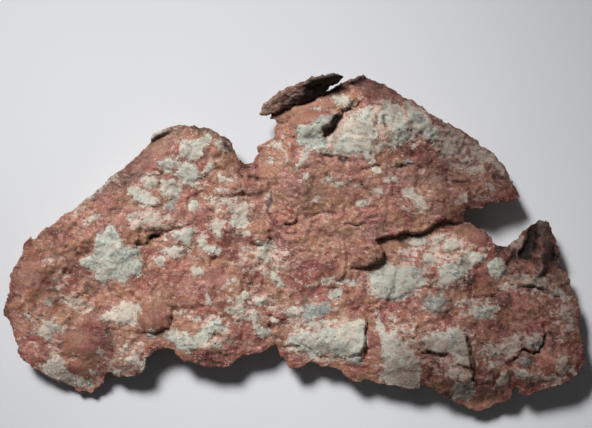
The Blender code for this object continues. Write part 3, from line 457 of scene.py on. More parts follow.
# Small crust patches: centre, half widths, turn in degrees and tone
CRUST_SPOTS = [
    (-91.5, -27, 2, 0.8, -30, 0.3), (-46.4, 38.6, 3.4, 0.9, 22, 0.4), (-70.5, -45, 2, 1, 0, 0.2),
    (-58.5, -36.5, 1.6, 1, 0, 0.2), (-67.5, -38, 1.6, 1, 0, 0.2), (-70, 8.3, 2.4, 1, 30, 0.2),
    (-68, 18.5, 8, 1.0, 42, 0.35), (-51.2, 24, 3.2, 0.8, -20, 0.2), (-46.5, 22.8, 2.4, 0.8, -35, 0.2),
    (-30.5, 25.2, 1.2, 5.2, -47, 0.2), (-24.8, 18.3, 2.2, 1.2, 0, 0.3), (-24, 15.3, 4, 0.8, 0, 0.2),
    (-19, 10.5, 3.4, 2.2, 20, 0.35), (-19, 6.6, 3, 1.6, 0, 0.3), (-17, 3.2, 2.2, 0.8, 0, 0.2),
    (-41, -3, 5, 1.8, 0, 0.3), (-29, -2.2, 3, 1.2, 0, 0.6), (-47, -6.5, 2, 1.4, 0, 0.3),
    (-33.2, -10, 2.2, 2, 0, 0.35), (-8.8, -1.8, 2.2, 1.2, 0, 0.2), (-29.8, -19.5, 1.2, 1.6, 0, 0.2),
    (-11.2, -19.8, 2.2, 1.6, 0, 0.35), (-20, -23, 3, 1.4, 0, 0.3), (-6.8, -27, 1.4, 1.1, 0, 0.3),
    (-39.3, -24.2, 1.8, 1.3, 0, 0.3), (-33.7, -27.2, 1.3, 0.8, 0, 0.2), (-38, -36.5, 1.6, 1.6, 0, 0.95),
    (-26, -34.8, 3, 1.2, 0, 0.3), (-31, -34.5, 2, 2.4, 0, 0.35), (-50, -31.8, 2, 1.2, 0, 0.2),
    (25.5, 39, 1.8, 1.8, 0, 0.9), (32, 34, 3.0, 1.4, 0, 0.3), (47.5, 36.8, 2.6, 2.0, 0, 0.35),
    (55, 35.5, 3.2, 1.6, -20, 0.3), (68.5, 30, 3.4, 2.2, -40, 0.3), (64, 34, 3.2, 1.0, -38, 0.45),
    (72, 26.4, 2.6, 1.2, -50, 0.3), (56, 38.8, 3.2, 0.9, -34, 0.5), (63, 25.5, 2.4, 0.9, 20, 0.2),
    (60, 28.5, 1, 2.6, -20, 0.2), (67, 15, 2.8, 0.9, -10, 0.15), (17.8, 49.2, 2.2, 1.1, -20, 0.4),
    (8.5, 47.2, 1.6, 0.8, 0, 0.4), (26, 30, 2, 2, 0, 0.7), (28, 25.5, 2, 0.9, 0, 0.2),
    (12, 21.8, 2, 1.3, 0, 0.3), (16.8, 20.8, 2.3, 0.8, 0, 0.3), (4.5, 23.2, 1.5, 1.2, 0, 0.3),
    (58.8, 15.5, 1.8, 1.6, 0, 0.5), (-2, 28.8, 2, 1.2, 0, 0.3), (-8, 28.5, 1.2, 1.1, 0, 0.0),
    (-5.5, 34, 1.6, 2, 0, 0.3), (42.5, 0.5, 3.5, 1.4, 0, 0.3), (50, 1.6, 2, 1.5, 0, 0.4),
    (54.5, -1, 2.6, 3, 0, 0.35), (47, -6, 2.2, 2, 0, 0.3), (71.4, -9.4, 3.0, 3.4, 20, 0.62),
    (49.5, -20.5, 3.6, 3.2, 0, 0.84), (60.5, -20.8, 3.4, 1.2, 0, 0.3), (77.6, -16, 2.2, 1.1, -20, 0.1),
    (80, -12.5, 3, 1.5, 0, 0.1), (86.2, -9, 0.9, 3.4, 0, 0.3), (87.2, -14, 1.8, 2.0, 0, 0.45),
    (91, -16.8, 3.4, 1.4, -15, 0.45), (93.5, -43, 2, 3, 0, 0.3), (97.3, -44.8, 1.2, 1.3, 0, 0.2),
    (88.8, -47, 2.8, 1.1, 0, 0.3), (82.5, -46.5, 2.4, 1.6, 0, 0.35), (97.8, -23, 1.2, 1, 0, 0.3),
    (-0.5, -24, 3.4, 1.4, 0, 0.4), (11.5, -13, 4, 0.9, 10, 0.3), (20.2, -14, 2.8, 1.1, 0, 0.35),
    (14.2, -18, 2.4, 2.0, 0, 0.45), (69, -42.6, 2.2, 1.1, 0, 0.3), (81, -40.7, 2.1, 2.1, 0, 0.9),
    (79, -45.5, 2.2, 2.2, 0, 0.7), (83.5, -34, 3, 2.4, 0, 0.2), (78.3, -34.5, 1.2, 2.2, 0, 0.3),
    (66, 11.6, 3.4, 0.8, -8, 0.1), (73, 10.6, 3.0, 0.7, -8, 0.1), (79, 9.8, 1.8, 0.6, 0, 0.15),
    (78.2, 1.4, 0.9, 1.2, -20, 0.3), (77.6, -1.6, 0.8, 0.9, 0, 0.25), (79.6, -2.2, 0.7, 0.8, 0, 0.3),
    (-8.3, 15, 0.7, 3.2, 0, 0.95), (64.5, 26, 2, 1.4, 0, 0.3), (39.8, 28.1, 2, 0.6, 0, 1.0),
    (-22, -14, 3, 1.2, 20, 0.3), (-62, -44.8, 2.6, 1.3, 0, 0.4), (-79, -20, 1.6, 1, 0, 0.3),
    (-86, -20, 1.4, 1, 0, 0.3), (-56, 9, 1.4, 1, 0, 0.3), (30, 18, 1.8, 1, 0, 0.2),
    (24, 14, 1.6, 0.9, 0, 0.2), (8, 15, 1.4, 1, 0, 0.2), (34, 22, 2, 1, 0, 0.3), (69, 19, 1.6, 1, 0, 0.3),
]

# Copper tones: 0 dark brown, 0.25 deep red-brown, 0.5 pink-brown, 0.75 orange-brown, 1 pale pink
COPPER_ZONES = [
    (-90, -7, 7, 8, 10, 0.74), (-87, -19, 9, 5, 0, 0.7), (-94, -27, 5, 5, 0, 0.68),
    (-86, -36, 8, 4, 0, 0.36), (60, -16, 5, 3, 0, 0.7), (72, -8, 4, 4, 0, 0.72),
    (55, -40.5, 7, 3, 0, 0.3), (39.5, -28.5, 5, 3.5, -40, 0.28), (36, 27, 8, 3, -10, 0.74),
    (62, 21, 7, 3, -20, 0.66), (90, -34, 4, 6, 0, 0.3), (84, -28, 4, 4, 0, 0.72), (64, -28, 5, 3, 0, 0.3),
    (-31.5, 38.8, 6.5, 1.6, -28, 0.04), (-21.5, 31.5, 1.8, 5.5, 22, 0.06), (-16.5, 27, 3, 1.5, -10, 0.05),
    (78, 2, 32, 48, 0, 0.36), (60, -46, 34, 14, 0, 0.4), (52, -42, 9, 5, 0, 0.3),
    (65, -55, 8, 4, -10, 0.7), (85, -43.5, 5, 4, 0, 0.74), (-68, -33, 7, 4.5, 0, 0.2),
    (-78, -41, 8, 4, 10, 0.72), (-95, -14, 4, 6, 10, 0.56), (-51, 31, 12, 7, 40, 0.6),
    (-80, -24, 6, 3, 0, 0.58), (-60, -17.5, 8, 3, 0, 0.72), (-36, -31, 4, 3, 0, 0.75),
    (-30, -41, 9, 2.6, 0, 0.34), (-2, -28, 5, 2, 10, 0.24), (17, 16, 22, 14, 0, 0.56),
    (11, -8.5, 5, 4, 0, 0.3), (-49, -25.5, 6, 6, 0, 0.66), (-36.5, -29, 5, 2.6, 0, 0.8),
    (63, 3, 7, 4.5, -20, 0.72), (65, -13, 6.5, 4, 0, 0.22), (81, -19.5, 10, 6, 0, 0.24),
    (87, -42, 7, 5, 0, 0.7), (69, -55, 9, 5, 20, 0.68), (6, 45, 10, 5, 0, 0.68),
    (30, 54, 12, 5, -25, 0.36), (-22, 3.5, 3.5, 3, 0, 0.3), (22, 51, 4, 3, 0, 0.7),
    (-48, 8, 8, 4, 0, 0.5), (-60, 12, 6, 4, 30, 0.62), (-28, 24, 9, 3, 20, 0.66),
    (-26, -12, 14, 5, 0, 0.5), (50, 24, 10, 5, -20, 0.35), (88.5, -2, 4, 8, 0, 0.24),
    (86.8, 5.5, 4, 3.5, 0, 0.02), (76, -27, 8, 5, 0, 0.3), (95, -14, 4, 4, 0, 0.2),
    (36, 5, 10, 3, 0, 0.4), (27.5, -38, 3, 12, 0, 0.5), (-92, -37, 4, 4, 0, 0.66),
    (-20, 28, 5, 4, 0, 0.5), (-2, 36, 6, 8, 0, 0.68), (2, -14, 8, 6, 0, 0.44), (71, -3, 3, 2, 0, 0.1),
    (-60, 20, 8, 3, 42, 0.3), (74, 17, 5, 3, 0, 0.55), (15, 30, 6, 2.5, 0, 0.35), (22, 27, 6, 3, 0, 0.6),
    (42, 33, 6, 4, 0, 0.4), (78, -50, 5, 4, 0, 0.35),
]

# Zones where a thin dust of crust lies over the copper: centre, half widths, turn and strength
DUST_ZONES = [
    (-38, 27, 13, 11, -20, 0.4), (-50, 16, 12, 6, 20, 0.45), (-22, 12, 12, 10, 0, 0.5),
    (-38, 0, 12, 8, 0, 0.55), (-10, -5, 12, 8, 0, 0.65), (-14, -22, 12, 8, 0, 0.6),
    (-30, -30, 14, 8, 0, 0.55), (-87, -29, 9, 6, 0, 0.5), (-76, -21, 7, 4, -20, 0.75),
    (-85, -7, 6, 2.5, 10, 0.6), (-83, -13, 6, 4, 0, 0.55), (-78, -47, 12, 5, -15, 0.5),
    (-58, -42, 10, 6, 0, 0.6), (-50, 8, 9, 4, 0, 0.8), (20, 38, 18, 9, 0, 0.9),
    (38, 42, 14, 8, -30, 0.85), (56, 33, 14, 7, -35, 0.75), (69, 29, 8, 5, -40, 0.5),
    (14, 21, 14, 3, 0, 0.5), (44, 14, 10, 6, 0, 0.5), (52, -3, 20, 7, 0, 0.7), (55, -12, 14, 6, 0, 0.6),
    (36, -13, 12, 8, 0, 0.8), (48, -21, 8, 6, 0, 0.6), (64, -23, 9, 5, 0, 0.6), (81, -14, 12, 6, 0, 0.6),
    (94, -26, 5, 10, 0, 0.6), (8, -24, 14, 6, 0, 0.55), (12, -34, 18, 9, 0, 0.8),
    (37, -38, 10, 14, 0, 0.7), (54, -38, 12, 12, 0, 0.6), (72, -38, 12, 6, 0, 0.6),
    (71, -46, 7, 6, 0, 0.6), (88, -46, 10, 5, 0, 0.6), (78.5, 0, 3.5, 4, 0, 0.9), (82, -35, 8, 6, 0, 0.5),
    (2, -12, 12, 6, 0, 0.4), (-2, 32, 8, 6, 0, 0.5), (94, -43, 5, 5, 0, 0.6), (30, 25, 10, 4, 0, 0.4),
    (-8, 15, 3, 6, 0, 0.5), (59, -52, 6, 5, 0, 0.5), (20, 49, 8, 3, 0, 0.5), (-81, -35, 14, 9, 0, 0.5),
    (-60, -38, 10, 7, 0, 0.65), (-90, -18, 7, 9, 0, 0.4),
]

# Zones of smooth, evenly coloured copper: centre, half widths and turn
CALM_ZONES = [
    (31, 53, 8, 2.6, -28), (-51.5, 31, 10, 5, 42), (-70, -34.5, 11, 5.5, 0), (-74, -44.5, 4.5, 3.6, 0),
    (-49, -25.5, 5, 5, 0), (-36.5, -29, 4, 2.3, 0), (4, 45.5, 8, 3.2, 15), (-9.5, 25, 3.5, 3, 0),
    (28.5, -34, 2.2, 8, 0), (63, 2.5, 5, 3, -30), (13, -9, 4, 2.6, 0), (-91, -12, 5, 9, 10),
    (66, -12.5, 4.5, 3, 0), (77, -21, 7, 3.5, 0), (12.5, 17, 7, 3, 0), (-26, -12, 6, 3, 0),
    (90, -44, 4, 3, 20), (88.5, -4, 2.4, 5, -8), (76, 24, 2.5, 4, 20), (36, -0.5, 5, 2, 10),
]

# Zones weathered to a dull grey-brown: centre, half widths, turn and strength
PATINA_ZONES = [
    (88, -3, 4, 7, 0, 0.3), (-58, 25, 12, 4, 42, 0.5), (28, 55, 12, 4, -28, 0.45),
    (52, 41, 16, 4, -33, 0.6), (74, 24, 7, 5, -55, 0.55), (86.8, 5.5, 3.4, 3, 0, 0.95),
    (91.5, -2, 1.8, 6, 10, 0.6), (16, 17, 16, 5, 0, 0.35), (45, 24, 14, 4, -10, 0.4),
    (26, 5, 14, 4, 0, 0.3), (-48, 8, 9, 4, 0, 0.35), (-44, 38, 7, 3, 15, 0.5), (94, -13, 3, 5, 10, 0.5),
    (63, 20, 8, 5, -20, 0.3),
]

# Zones where the crust is rough and knobbly: centre, half widths, turn and strength
KNOBBLY_ZONES = [
    (35, 43, 8, 7, -30, 1.0), (48, 38, 9, 6, -32, 1.0), (59, 32, 9, 5, -36, 0.9),
    (69, 28, 8, 4, -42, 0.8), (62, -7, 10, 6, 0, 0.7), (84, -12, 11, 5, 0, 0.8), (85, -35, 8, 6, 0, 0.7),
    (57, -47, 7, 7, 0, 0.6), (94, -26, 4, 7, 0, 0.7), (69, -37, 9, 5, 0, 0.7), (78.5, 0, 3, 4, -20, 1.0),
    (-27, 35, 7, 4, -30, 0.7), (-62, -5, 4, 4, 0, 0.3), (40, -12, 6, 4, 0, 0.6), (-45, 23, 8, 5, 0, 0.4),
]

# Zones whose colour is made darker: centre, half widths, turn and strength
DARKER_ZONES = [
    (66, 25, 24, 14, -35, 1.0), (64, 13, 18, 8, 0, 1.0), (84, -5, 14, 14, 0, 1.0),
    (95, -30, 10, 20, 0, 1.0), (78, -40, 20, 16, 0, 1.0), (62, -20, 18, 10, 0, 0.6),
    (40, -14, 12, 8, 0, 0.5), (54, -44, 24, 13, 0, 1.0), (31, 53, 14, 5, -28, 0.7),
    (-72, -34, 11, 6, 0, 0.55), (-49, -25.5, 6, 6, 0, 0.5), (-90, -16, 8, 14, 0, 0.4),
    (-58, 24, 16, 4, 42, 0.35), (40, 15, 10, 6, 0, 0.4), (-20, 32, 5, 9, 20, 0.5), (8, 45, 8, 3, 15, 0.3),
    (-30, -41, 10, 4, 10, 0.4), (25, -44, 8, 6, -10, 0.3),
]

# Stretches of rim without grains: centre, half widths and turn
SMOOTH_RIMS = [
    (31, 55, 9, 5, -28), (-66, 20, 24, 5, 40), (-46, 40, 9, 5, 15), (50, 43, 24, 5, -36),
    (72, -56, 12, 5, 0), (-58, -45, 8, 5, 0),
]

# Painted shade: spots painted dark in hollows that hold no light, beside the cracks and ledges and under the
# flap: centre, half widths, turn and how dark the painted shade is
PAINTED_SHADE_SPOTS = [
    (83.4, 3.4, 2.3, 3.2, -12, 0.95), (82.4, -0.6, 2.3, 3.4, -10, 0.95), (80.9, -4.4, 2.1, 2.2, 0, 0.95),
    (77, -5, 1.0, 2.2, 0, 0.7), (87, 5.2, 2.8, 2.6, 0, 0.5), (14.2, 41.6, 1.2, 2.8, -20, 0.95),
    (11.6, 39.0, 2.6, 0.9, 25, 0.9), (-49, 1.9, 2.0, 1.0, 25, 0.9), (71.6, -3, 1.4, 0.9, 0, 0.6),
    (4, 49.6, 7, 1.2, 20, 0.9), (-5, 45.4, 4, 0.9, 20, 0.7), (14.5, 53.9, 4.5, 1.3, 32, 0.85),
    (20.5, 55.4, 1.4, 1.0, 0, 0.6), (-50.2, 35.6, 1.2, 1.0, 40, 0.7), (-31, 40, 6, 0.8, -24, 0.6),
    (-23.4, 34.4, 0.9, 4, 30, 0.6), (-17.5, 27.2, 3, 0.9, -20, 0.5), (-101, -25, 1.6, 2.4, 0, 0.5),
    (31, 42, 0.8, 2.2, 20, 0.5), (40.6, 41, 0.7, 2.6, -30, 0.5), (46, 33.6, 2.6, 0.6, 0, 0.5),
    (52.4, 38, 0.7, 2.2, -60, 0.5), (58.4, 33.2, 0.7, 2, -20, 0.5), (91.8, -3.5, 0.8, 2.6, 0, 0.5),
    (92.8, -8, 0.9, 1.8, 20, 0.6),
]

# Camera: straight above, so that the sheet fills the picture as it fills the photograph
PHOTO_WIDTH = 592  # pixels
MM_PER_PIXEL = 0.35
VIEW_CENTRE = (0.875, 10.325)
LENS = 135
SENSOR_WIDTH = 36

# Lamp, sky and floor: places and sizes in metres, power in watts, spread in degrees
LAMP_PLACE = (-0.36, 0.57, 0.74)
LAMP_TARGET = (-0.034, 0.018, 0.0)
LAMP_SIZE = 0.38
LAMP_POWER = 0.445
LAMP_SPREAD = 22
SKY_COLOUR = (0.95, 0.97, 1.0, 1)
SKY_STRENGTH = 0.052
FLOOR_SIZE = 4


def smooth_step(value):
    value = np.clip(value, 0, 1)
    return value * value * (3 - 2 * value)


def nearest_on_line(plan, line, reach=None):
    """For each plan point: distance to the line, side (+1 on the left) and run from 0 to 1 along it.

    With a reach, points outside the line's box widened by it are left out and lie endlessly far away.
    At a corner shared by two stretches, the one that the point stands further aside of gives the side.
    """
    corners = np.array(line, float)
    total = np.linalg.norm(np.diff(corners, axis=0), axis=1).sum()
    distance = np.full(len(plan), np.inf)
    side = np.ones(len(plan))
    run = np.zeros(len(plan))
    chosen = np.arange(len(plan))
    if reach is not None:
        low = corners.min(axis=0) - reach
        high = corners.max(axis=0) + reach
        chosen = np.flatnonzero(((plan > low) & (plan < high)).all(axis=1))
    near = plan[chosen]
    best = np.full(len(near), np.inf)
    best_across = np.zeros(len(near))
    best_run = np.zeros(len(near))
    walked = 0.0
    for start, end in zip(corners[:-1], corners[1:]):
        step = end - start
        length = np.hypot(*step)
        along = np.clip((near - start) @ step / length**2, 0, 1)
        offset = near - start - along[:, None] * step
        away = np.hypot(offset[:, 0], offset[:, 1])
        across = (step[0] * offset[:, 1] - step[1] * offset[:, 0]) / length
        same_corner = np.abs(away - best) < 1e-6
        closer = np.where(same_corner, np.abs(across) > np.abs(best_across), away < best)
        best[closer] = away[closer]
        best_across[closer] = across[closer]
        best_run[closer] = (walked + along[closer] * length) / total
        walked += length
    distance[chosen] = best
    side[chosen] = np.sign(best_across)
    run[chosen] = best_run
    return distance, side, run


def turned(plan, spot):
    """Plan points in a spot's own axes, in half widths."""
    x, y, half_x, half_y, turn = spot[:5]
    angle = math.radians(turn)
    across = (plan[:, 0] - x) * math.cos(angle) + (plan[:, 1] - y) * math.sin(angle)
    along = (plan[:, 1] - y) * math.cos(angle) - (plan[:, 0] - x) * math.sin(angle)
    return across / half_x, along / half_y


def mound(plan, lump, steepness=1.5):
    """A rounded mound, 1 at its centre and near 0 a little outside its half widths."""
    across, along = turned(plan, lump)
    return np.exp(-(across**2 + along**2) ** steepness)


def faded_ends(run, share=0.12):
    """1 along a line, falling to 0 over a share of it at each end."""
    return smooth_step(run / share) * smooth_step((1 - run) / share)


def strongest(plan, zones, spread, steepness):
    """How strongly the zones cover each point, from 0 to 1; a zone without a strength of its own has 1."""
    covers = [(*zone, 1.0)[5] * smooth_step(spread * mound(plan, zone, steepness)) for zone in zones]
    return np.max(covers, axis=0)


def ledge(plan, line, step, reach):
    """A drop on the left of the line that climbs back over the reach, and a low lip on its right."""
    distance, side, run = nearest_on_line(plan, line, 6 * reach)
    drop = -step * np.exp(-distance / reach)
    lip = 0.35 * step * np.exp(-distance / reach)
    return faded_ends(run) * np.where(side > 0, drop, lip)


def crack(plan, line, half_width, depth):
    """A groove with sloping sides along the line, shallower towards its ends."""
    distance, _, run = nearest_on_line(plan, line, 2 * half_width)
    return -depth * faded_ends(run) * np.clip(1.1 - distance / half_width, 0, 1)


def hackle(points, size, seed, octaves=3):
    """Rough noise of one size over the points in space, between about -1 and 1."""
    offset = Vector((seed * 17.3, seed * 5.1, seed * 9.7))
    return np.array([noise.fractal(Vector(p) / size + offset, 0.8, 2.1, octaves) for p in points])


def scattered(across, along):
    """Each cell's row in a table of random values."""
    return (across * ACROSS_PRIME + along * ALONG_PRIME) % TABLE_LENGTH


def grain(plan, size, seed, octaves=2):
    """Smooth value noise over the plan, between -1 and 1, worked out for all points at once."""
    value = np.zeros(len(plan))
    weight = 1.0
    total = 0.0
    for octave in range(octaves):
        table = np.random.default_rng(seed + 31 * octave).uniform(-1, 1, TABLE_LENGTH)
        angle = 0.7 + 1.3 * octave
        across = plan[:, 0] * math.cos(angle) + plan[:, 1] * math.sin(angle)
        along = plan[:, 1] * math.cos(angle) - plan[:, 0] * math.sin(angle)
        place = np.column_stack([across, along]) / (size / 2**octave) + 1000
        cell = np.floor(place).astype(int)
        part = smooth_step(place - cell)
        corner = []
        for shift_x in (0, 1):
            for shift_y in (0, 1):
                corner.append(table[scattered(cell[:, 0] + shift_x, cell[:, 1] + shift_y)])
        low = corner[0] * (1 - part[:, 1]) + corner[1] * part[:, 1]
        high = corner[2] * (1 - part[:, 1]) + corner[3] * part[:, 1]
        value += weight * (low * (1 - part[:, 0]) + high * part[:, 0])
        total += weight
        weight *= 0.55
    return value / total


def broken_plates(plan, size, step, tilt, seed):
    """Height of plates that meet at sharp edges, each with its own level and its own tilt."""
    table = np.random.default_rng(seed).uniform(-1, 1, (TABLE_LENGTH, 5))
    cell = np.floor(plan / size).astype(int)
    nearest = np.full(len(plan), np.inf)
    height = np.zeros(len(plan))
    for shift_x in (-1, 0, 1):
        for shift_y in (-1, 0, 1):
            place = cell + (shift_x, shift_y)
            draw = table[scattered(place[:, 0], place[:, 1])]
            offset = plan - (place + 0.5 + 0.42 * draw[:, :2]) * size
            away = np.hypot(offset[:, 0], offset[:, 1])
            closer = away < nearest
            nearest[closer] = away[closer]
            slope = offset[:, 0] * draw[:, 3] + offset[:, 1] * draw[:, 4]
            height[closer] = (0.5 * step * draw[:, 2] + tilt * slope)[closer]
    return height


def drift(plan, size, seed):
    """A push in the plan for each point, worked out from two fields of noise."""
    return np.column_stack([grain(plan, size, seed), grain(plan, size, seed + 1)])


def ragged(plan, size, reach, seed):
    """Plan points pushed about by noise, so what is laid on them comes out ragged."""
    fray = drift(plan, 0.35 * size, seed + 2)
    return plan + reach * drift(plan, size, seed) + 0.45 * reach * fray


def flakes(plan, seed):
    """A rough slope cut into flat steps with ragged edges: its height, and where a step's foot is."""
    slope = FLAKE_LEVELS * grain(plan * FLAKE_STRETCH, FLAKE_SIZE, seed, 5)
    level = np.floor(slope)
    part = slope - level
    riser = smooth_step((part - 0.84) / 0.16)
    foot = smooth_step((part - 0.66) / 0.18) * (1 - riser)
    return FLAKE_STEP * (level + riser), foot


def inside_depth(plan, outline):
    """How far each plan point lies inside a closed outline; negative outside."""
    corners = np.array(outline + outline[:1], float)
    distance, _, _ = nearest_on_line(plan, corners, CRUST_REACH)
    inside = np.zeros(len(plan), bool)
    for (x0, y0), (x1, y1) in zip(corners[:-1], corners[1:]):
        crosses = (plan[:, 1] < y0) != (plan[:, 1] < y1)
        if y0 != y1:
            meets = x0 + (plan[:, 1] - y0) / (y1 - y0) * (x1 - x0)
            inside ^= crosses & (plan[:, 0] < meets)
    depth = np.minimum(distance, CRUST_REACH)
    return np.where(inside, depth, -depth)


def spine_height(plan):
    """Height of the middle of the sheet above the floor."""
    flat = np.column_stack([plan, np.zeros(len(plan))])
    height = SPINE_HEIGHT + WAVE_HEIGHT * hackle(flat, WAVE_SIZE, 5, 1)
    for foot in FEET:
        height -= FOOT_SAG * mound(plan, foot, 1.0)
    for x, y, half_x, half_y, lift in SWELLS:
        height += lift * np.exp(-(((plan[:, 0] - x) / half_x) ** 2) - ((plan[:, 1] - y) / half_y) ** 2)
    return height


def face_relief(plan):
    """Height of the lumps, ledges, cracks and hollow of the face."""
    plan = ragged(plan, *FACE_RAG)
    relief = np.zeros(len(plan))
    for lump in LUMPS + [HORN_WALL, HORN_TIP, HORN_LEFT_RIM]:
        relief += lump[5] * mound(plan, lump)
    for line, step, reach in LEDGES + FINE_LEDGES:
        relief += ledge(plan, line, step, reach)
    for line, half_width, depth in CRACKS + FINE_CRACKS:
        relief += crack(plan, line, half_width, depth)
    distance, _, _ = nearest_on_line(plan, HORN_HOLLOW)
    relief -= HORN_HOLLOW_DEPTH * smooth_step(1 - distance / HORN_HOLLOW_HALF_WIDTH)
    return relief


def rolled_lips(plan):
    """Height of the lips, which are cracks turned upwards."""
    return -sum(crack(plan, line, half_width, height) for line, half_width, height in ROLLED_LIPS)


def back_relief(plan):
    """How far the feet and lumps of the underside stand out."""
    relief = np.zeros(len(plan))
    for foot in FEET:
        relief += FOOT_DEPTH * mound(plan, foot, 1.0)
    for lump in BACK_LUMPS:
        relief += lump[5] * mound(plan, lump)
    return relief


def crust_on_face(plan):
    """How deep inside a crust patch each point is, in mm, and the tone of the nearest patch."""
    warped = plan + 0.8 * drift(plan, 2.4, 11) + 0.5 * drift(plan, 0.9, 13)
    depth = np.full(len(plan), -CRUST_REACH)
    tone = np.full(len(plan), BARE_TONE)
    for patch_tone, outline in CRUST_PATCHES:
        inside = inside_depth(warped, outline)
        deeper = inside > depth
        depth[deeper] = inside[deeper]
        tone[deeper] = patch_tone
    for spot in CRUST_SPOTS:
        across, along = turned(warped, spot)
        inside = (1 - np.hypot(across, along)) * min(spot[2], spot[3])
        deeper = inside > depth
        depth[deeper] = inside[deeper]
        tone[deeper] = spot[5]
    for spot in CRUST_TONES:
        tone += (spot[5] - tone) * smooth_step(1.3 * mound(warped, spot, 1.2))
    return depth + 0.5 * grain(plan, 3.2, 15) - 0.1, tone


def crust_on_back(plan):
    """The same for the underside, where the patches come from noise alone."""
    depth = 3.0 * grain(plan, 14, 21) + 1.6 * grain(plan, 5, 22) - 1.1
    return depth, 0.35 + 0.5 * grain(plan, 18, 23)


def copper_tone(plan, front):
    """Tone of the copper, from the zones on the face and from noise on the underside."""
    tone = np.full(len(plan), 0.47)
    for zone in COPPER_ZONES:
        tone += (zone[5] - tone) * mound(plan, zone, 1.2)
    tone = np.where(front, tone, 0.36 + 0.12 * grain(plan, 16, 24))
    return tone + 0.16 * grain(plan, 6, 25) + 0.10 * grain(plan, 2.2, 26)


def dust(plan):
    """How much dust of crust lies on the copper, from 0 to 1."""
    return np.maximum(0.2, strongest(plan, DUST_ZONES, 1.3, 1.2))


def calm(plan):
    """Where the copper is smooth and evenly coloured, from 0 to 1."""
    return strongest(ragged(plan, 3, 0.8, 61), CALM_ZONES, 1.5, 2.0)


def patina(plan):
    """Where the copper has weathered to a dull grey-brown, from 0 to 1."""
    return strongest(ragged(plan, 4, 1.2, 62), PATINA_ZONES, 1.5, 1.5)


def knobbly(plan):
    """How rough the crust is, from 0 to 1."""
    return strongest(plan, KNOBBLY_ZONES, 1.4, 1.4)


def darker_film(plan):
    """How much darker the colour is made there, from 0 to 1."""
    return strongest(ragged(plan, 6, 2.0, 63), DARKER_ZONES, 1.4, 1.2)


def smooth_rim(plan):
    """Where the rim is clean, with no grains on it, from 0 to 1."""
    return strongest(plan, SMOOTH_RIMS, 1.5, 2.0)


def painted_shade(plan):
    """Painted shade: how dark the cracks, ledge feet and hollows are painted, as they hold little light, from
    0 to 1.
    """
    plan = ragged(plan, *FACE_RAG)
    dark = strongest(plan, PAINTED_SHADE_SPOTS, 1.4, 2.0)
    for line, half_width, depth in CRACKS + FINE_CRACKS:
        distance, _, run = nearest_on_line(plan, line, 2 * half_width)
        core = smooth_step(1.1 - distance / (0.7 * half_width))
        strength = min(1.0, 0.3 + 0.3 * depth)
        dark = np.maximum(dark, strength * faded_ends(run, 0.05) * core)
    return dark


def mesh_object(name, mesh):
    obj = bpy.data.objects.new(name, mesh)
    bpy.context.scene.collection.objects.link(obj)
    return obj


def baked(obj, name):
    """The object with its modifiers applied, as a new mesh object; the old one is removed."""
    graph = bpy.context.evaluated_depsgraph_get()
    mesh = bpy.data.meshes.new_from_object(obj.evaluated_get(graph))
    bpy.data.objects.remove(obj)
    return mesh_object(name, mesh)


def voxel_remesh(obj, name, size):
    remesh = obj.modifiers.new("Remesh", "REMESH")
    remesh.mode = "VOXEL"
    remesh.voxel_size = size * MM
    return baked(obj, name)


def points_of(obj):
    """The object's points, in millimetres."""
    points = np.empty(len(obj.data.vertices) * 3)
    obj.data.vertices.foreach_get("co", points)
    return points.reshape(-1, 3) / MM


def set_points(obj, points):
    obj.data.vertices.foreach_set("co", (points * MM).ravel())
    obj.data.update()


def normals_of(obj):
    normals = np.empty(len(obj.data.vertices) * 3)
    obj.data.vertices.foreach_get("normal", normals)
    return normals.reshape(-1, 3)


def set_value(obj, name, values):
    """Stores a number for each point, where the material and the grains can read it."""
    attribute = obj.data.attributes.new(name, "FLOAT", "POINT")
    attribute.data.foreach_set("value", values.astype(np.float32))


def flat_blank():
    """The outline as a flat plate, remeshed into an even grid."""
    curve = bpy.data.curves.new("outline", "CURVE")
    curve.dimensions = "2D"
    curve.fill_mode = "BOTH"
    curve.extrude = PLATE_HALF * MM
    spline = curve.splines.new("POLY")
    spline.points.add(len(OUTLINE) - 1)
    for point, (x, y) in zip(spline.points, OUTLINE):
        point.co = (x * MM, y * MM, 0, 1)
    spline.use_cyclic_u = True
    plate = baked(mesh_object("outline", curve), "plate")
    bm = bmesh.new()
    bm.from_mesh(plate.data)
    bmesh.ops.remove_doubles(bm, verts=bm.verts, dist=0.0001 * MM)
    bmesh.ops.recalc_face_normals(bm, faces=bm.faces)
    bm.to_mesh(plate.data)
    bm.free()
    return voxel_remesh(plate, "blank", FINE_VOXEL)


def thinned_back(blank):
    """Takes triangles from the underside only, until the piece is within its limit."""
    points = points_of(blank)
    triangles = 2 * len(blank.data.polygons)
    if triangles <= TRIANGLE_LIMIT:
        return blank
    group = blank.vertex_groups.new(name="underside")
    under = np.flatnonzero(points[:, 2] < -0.9 * PLATE_HALF)
    group.add([int(i) for i in under], 1.0, "REPLACE")
    decimate = blank.modifiers.new("Thin", "DECIMATE")
    decimate.ratio = TRIANGLE_LIMIT / triangles
    decimate.vertex_group = "underside"
    decimate.use_collapse_triangulate = True
    return baked(blank, "blank")


def coarse_plates(points):
    """Height of the broken plates that both faces share."""
    wander = np.column_stack([hackle(points, 8, 3), hackle(points, 8, 4)])
    return sum(
        broken_plates(points[:, :2] + 2.0 * wander, size, step, tilt, index)
        for index, (size, step, tilt) in enumerate(PLATES)
    )


def hackly_skin(plan):
    """Height of the small plates and the roughness of bare copper."""
    ripple = drift(plan, 1.6, 31)
    skin = sum(
        broken_plates(plan + 0.7 * ripple, size, step, tilt, 10 + index)
        for index, (size, step, tilt) in enumerate(FINE_PLATES)
    )
    return skin + 0.2 * grain(plan, 1.1, 33)


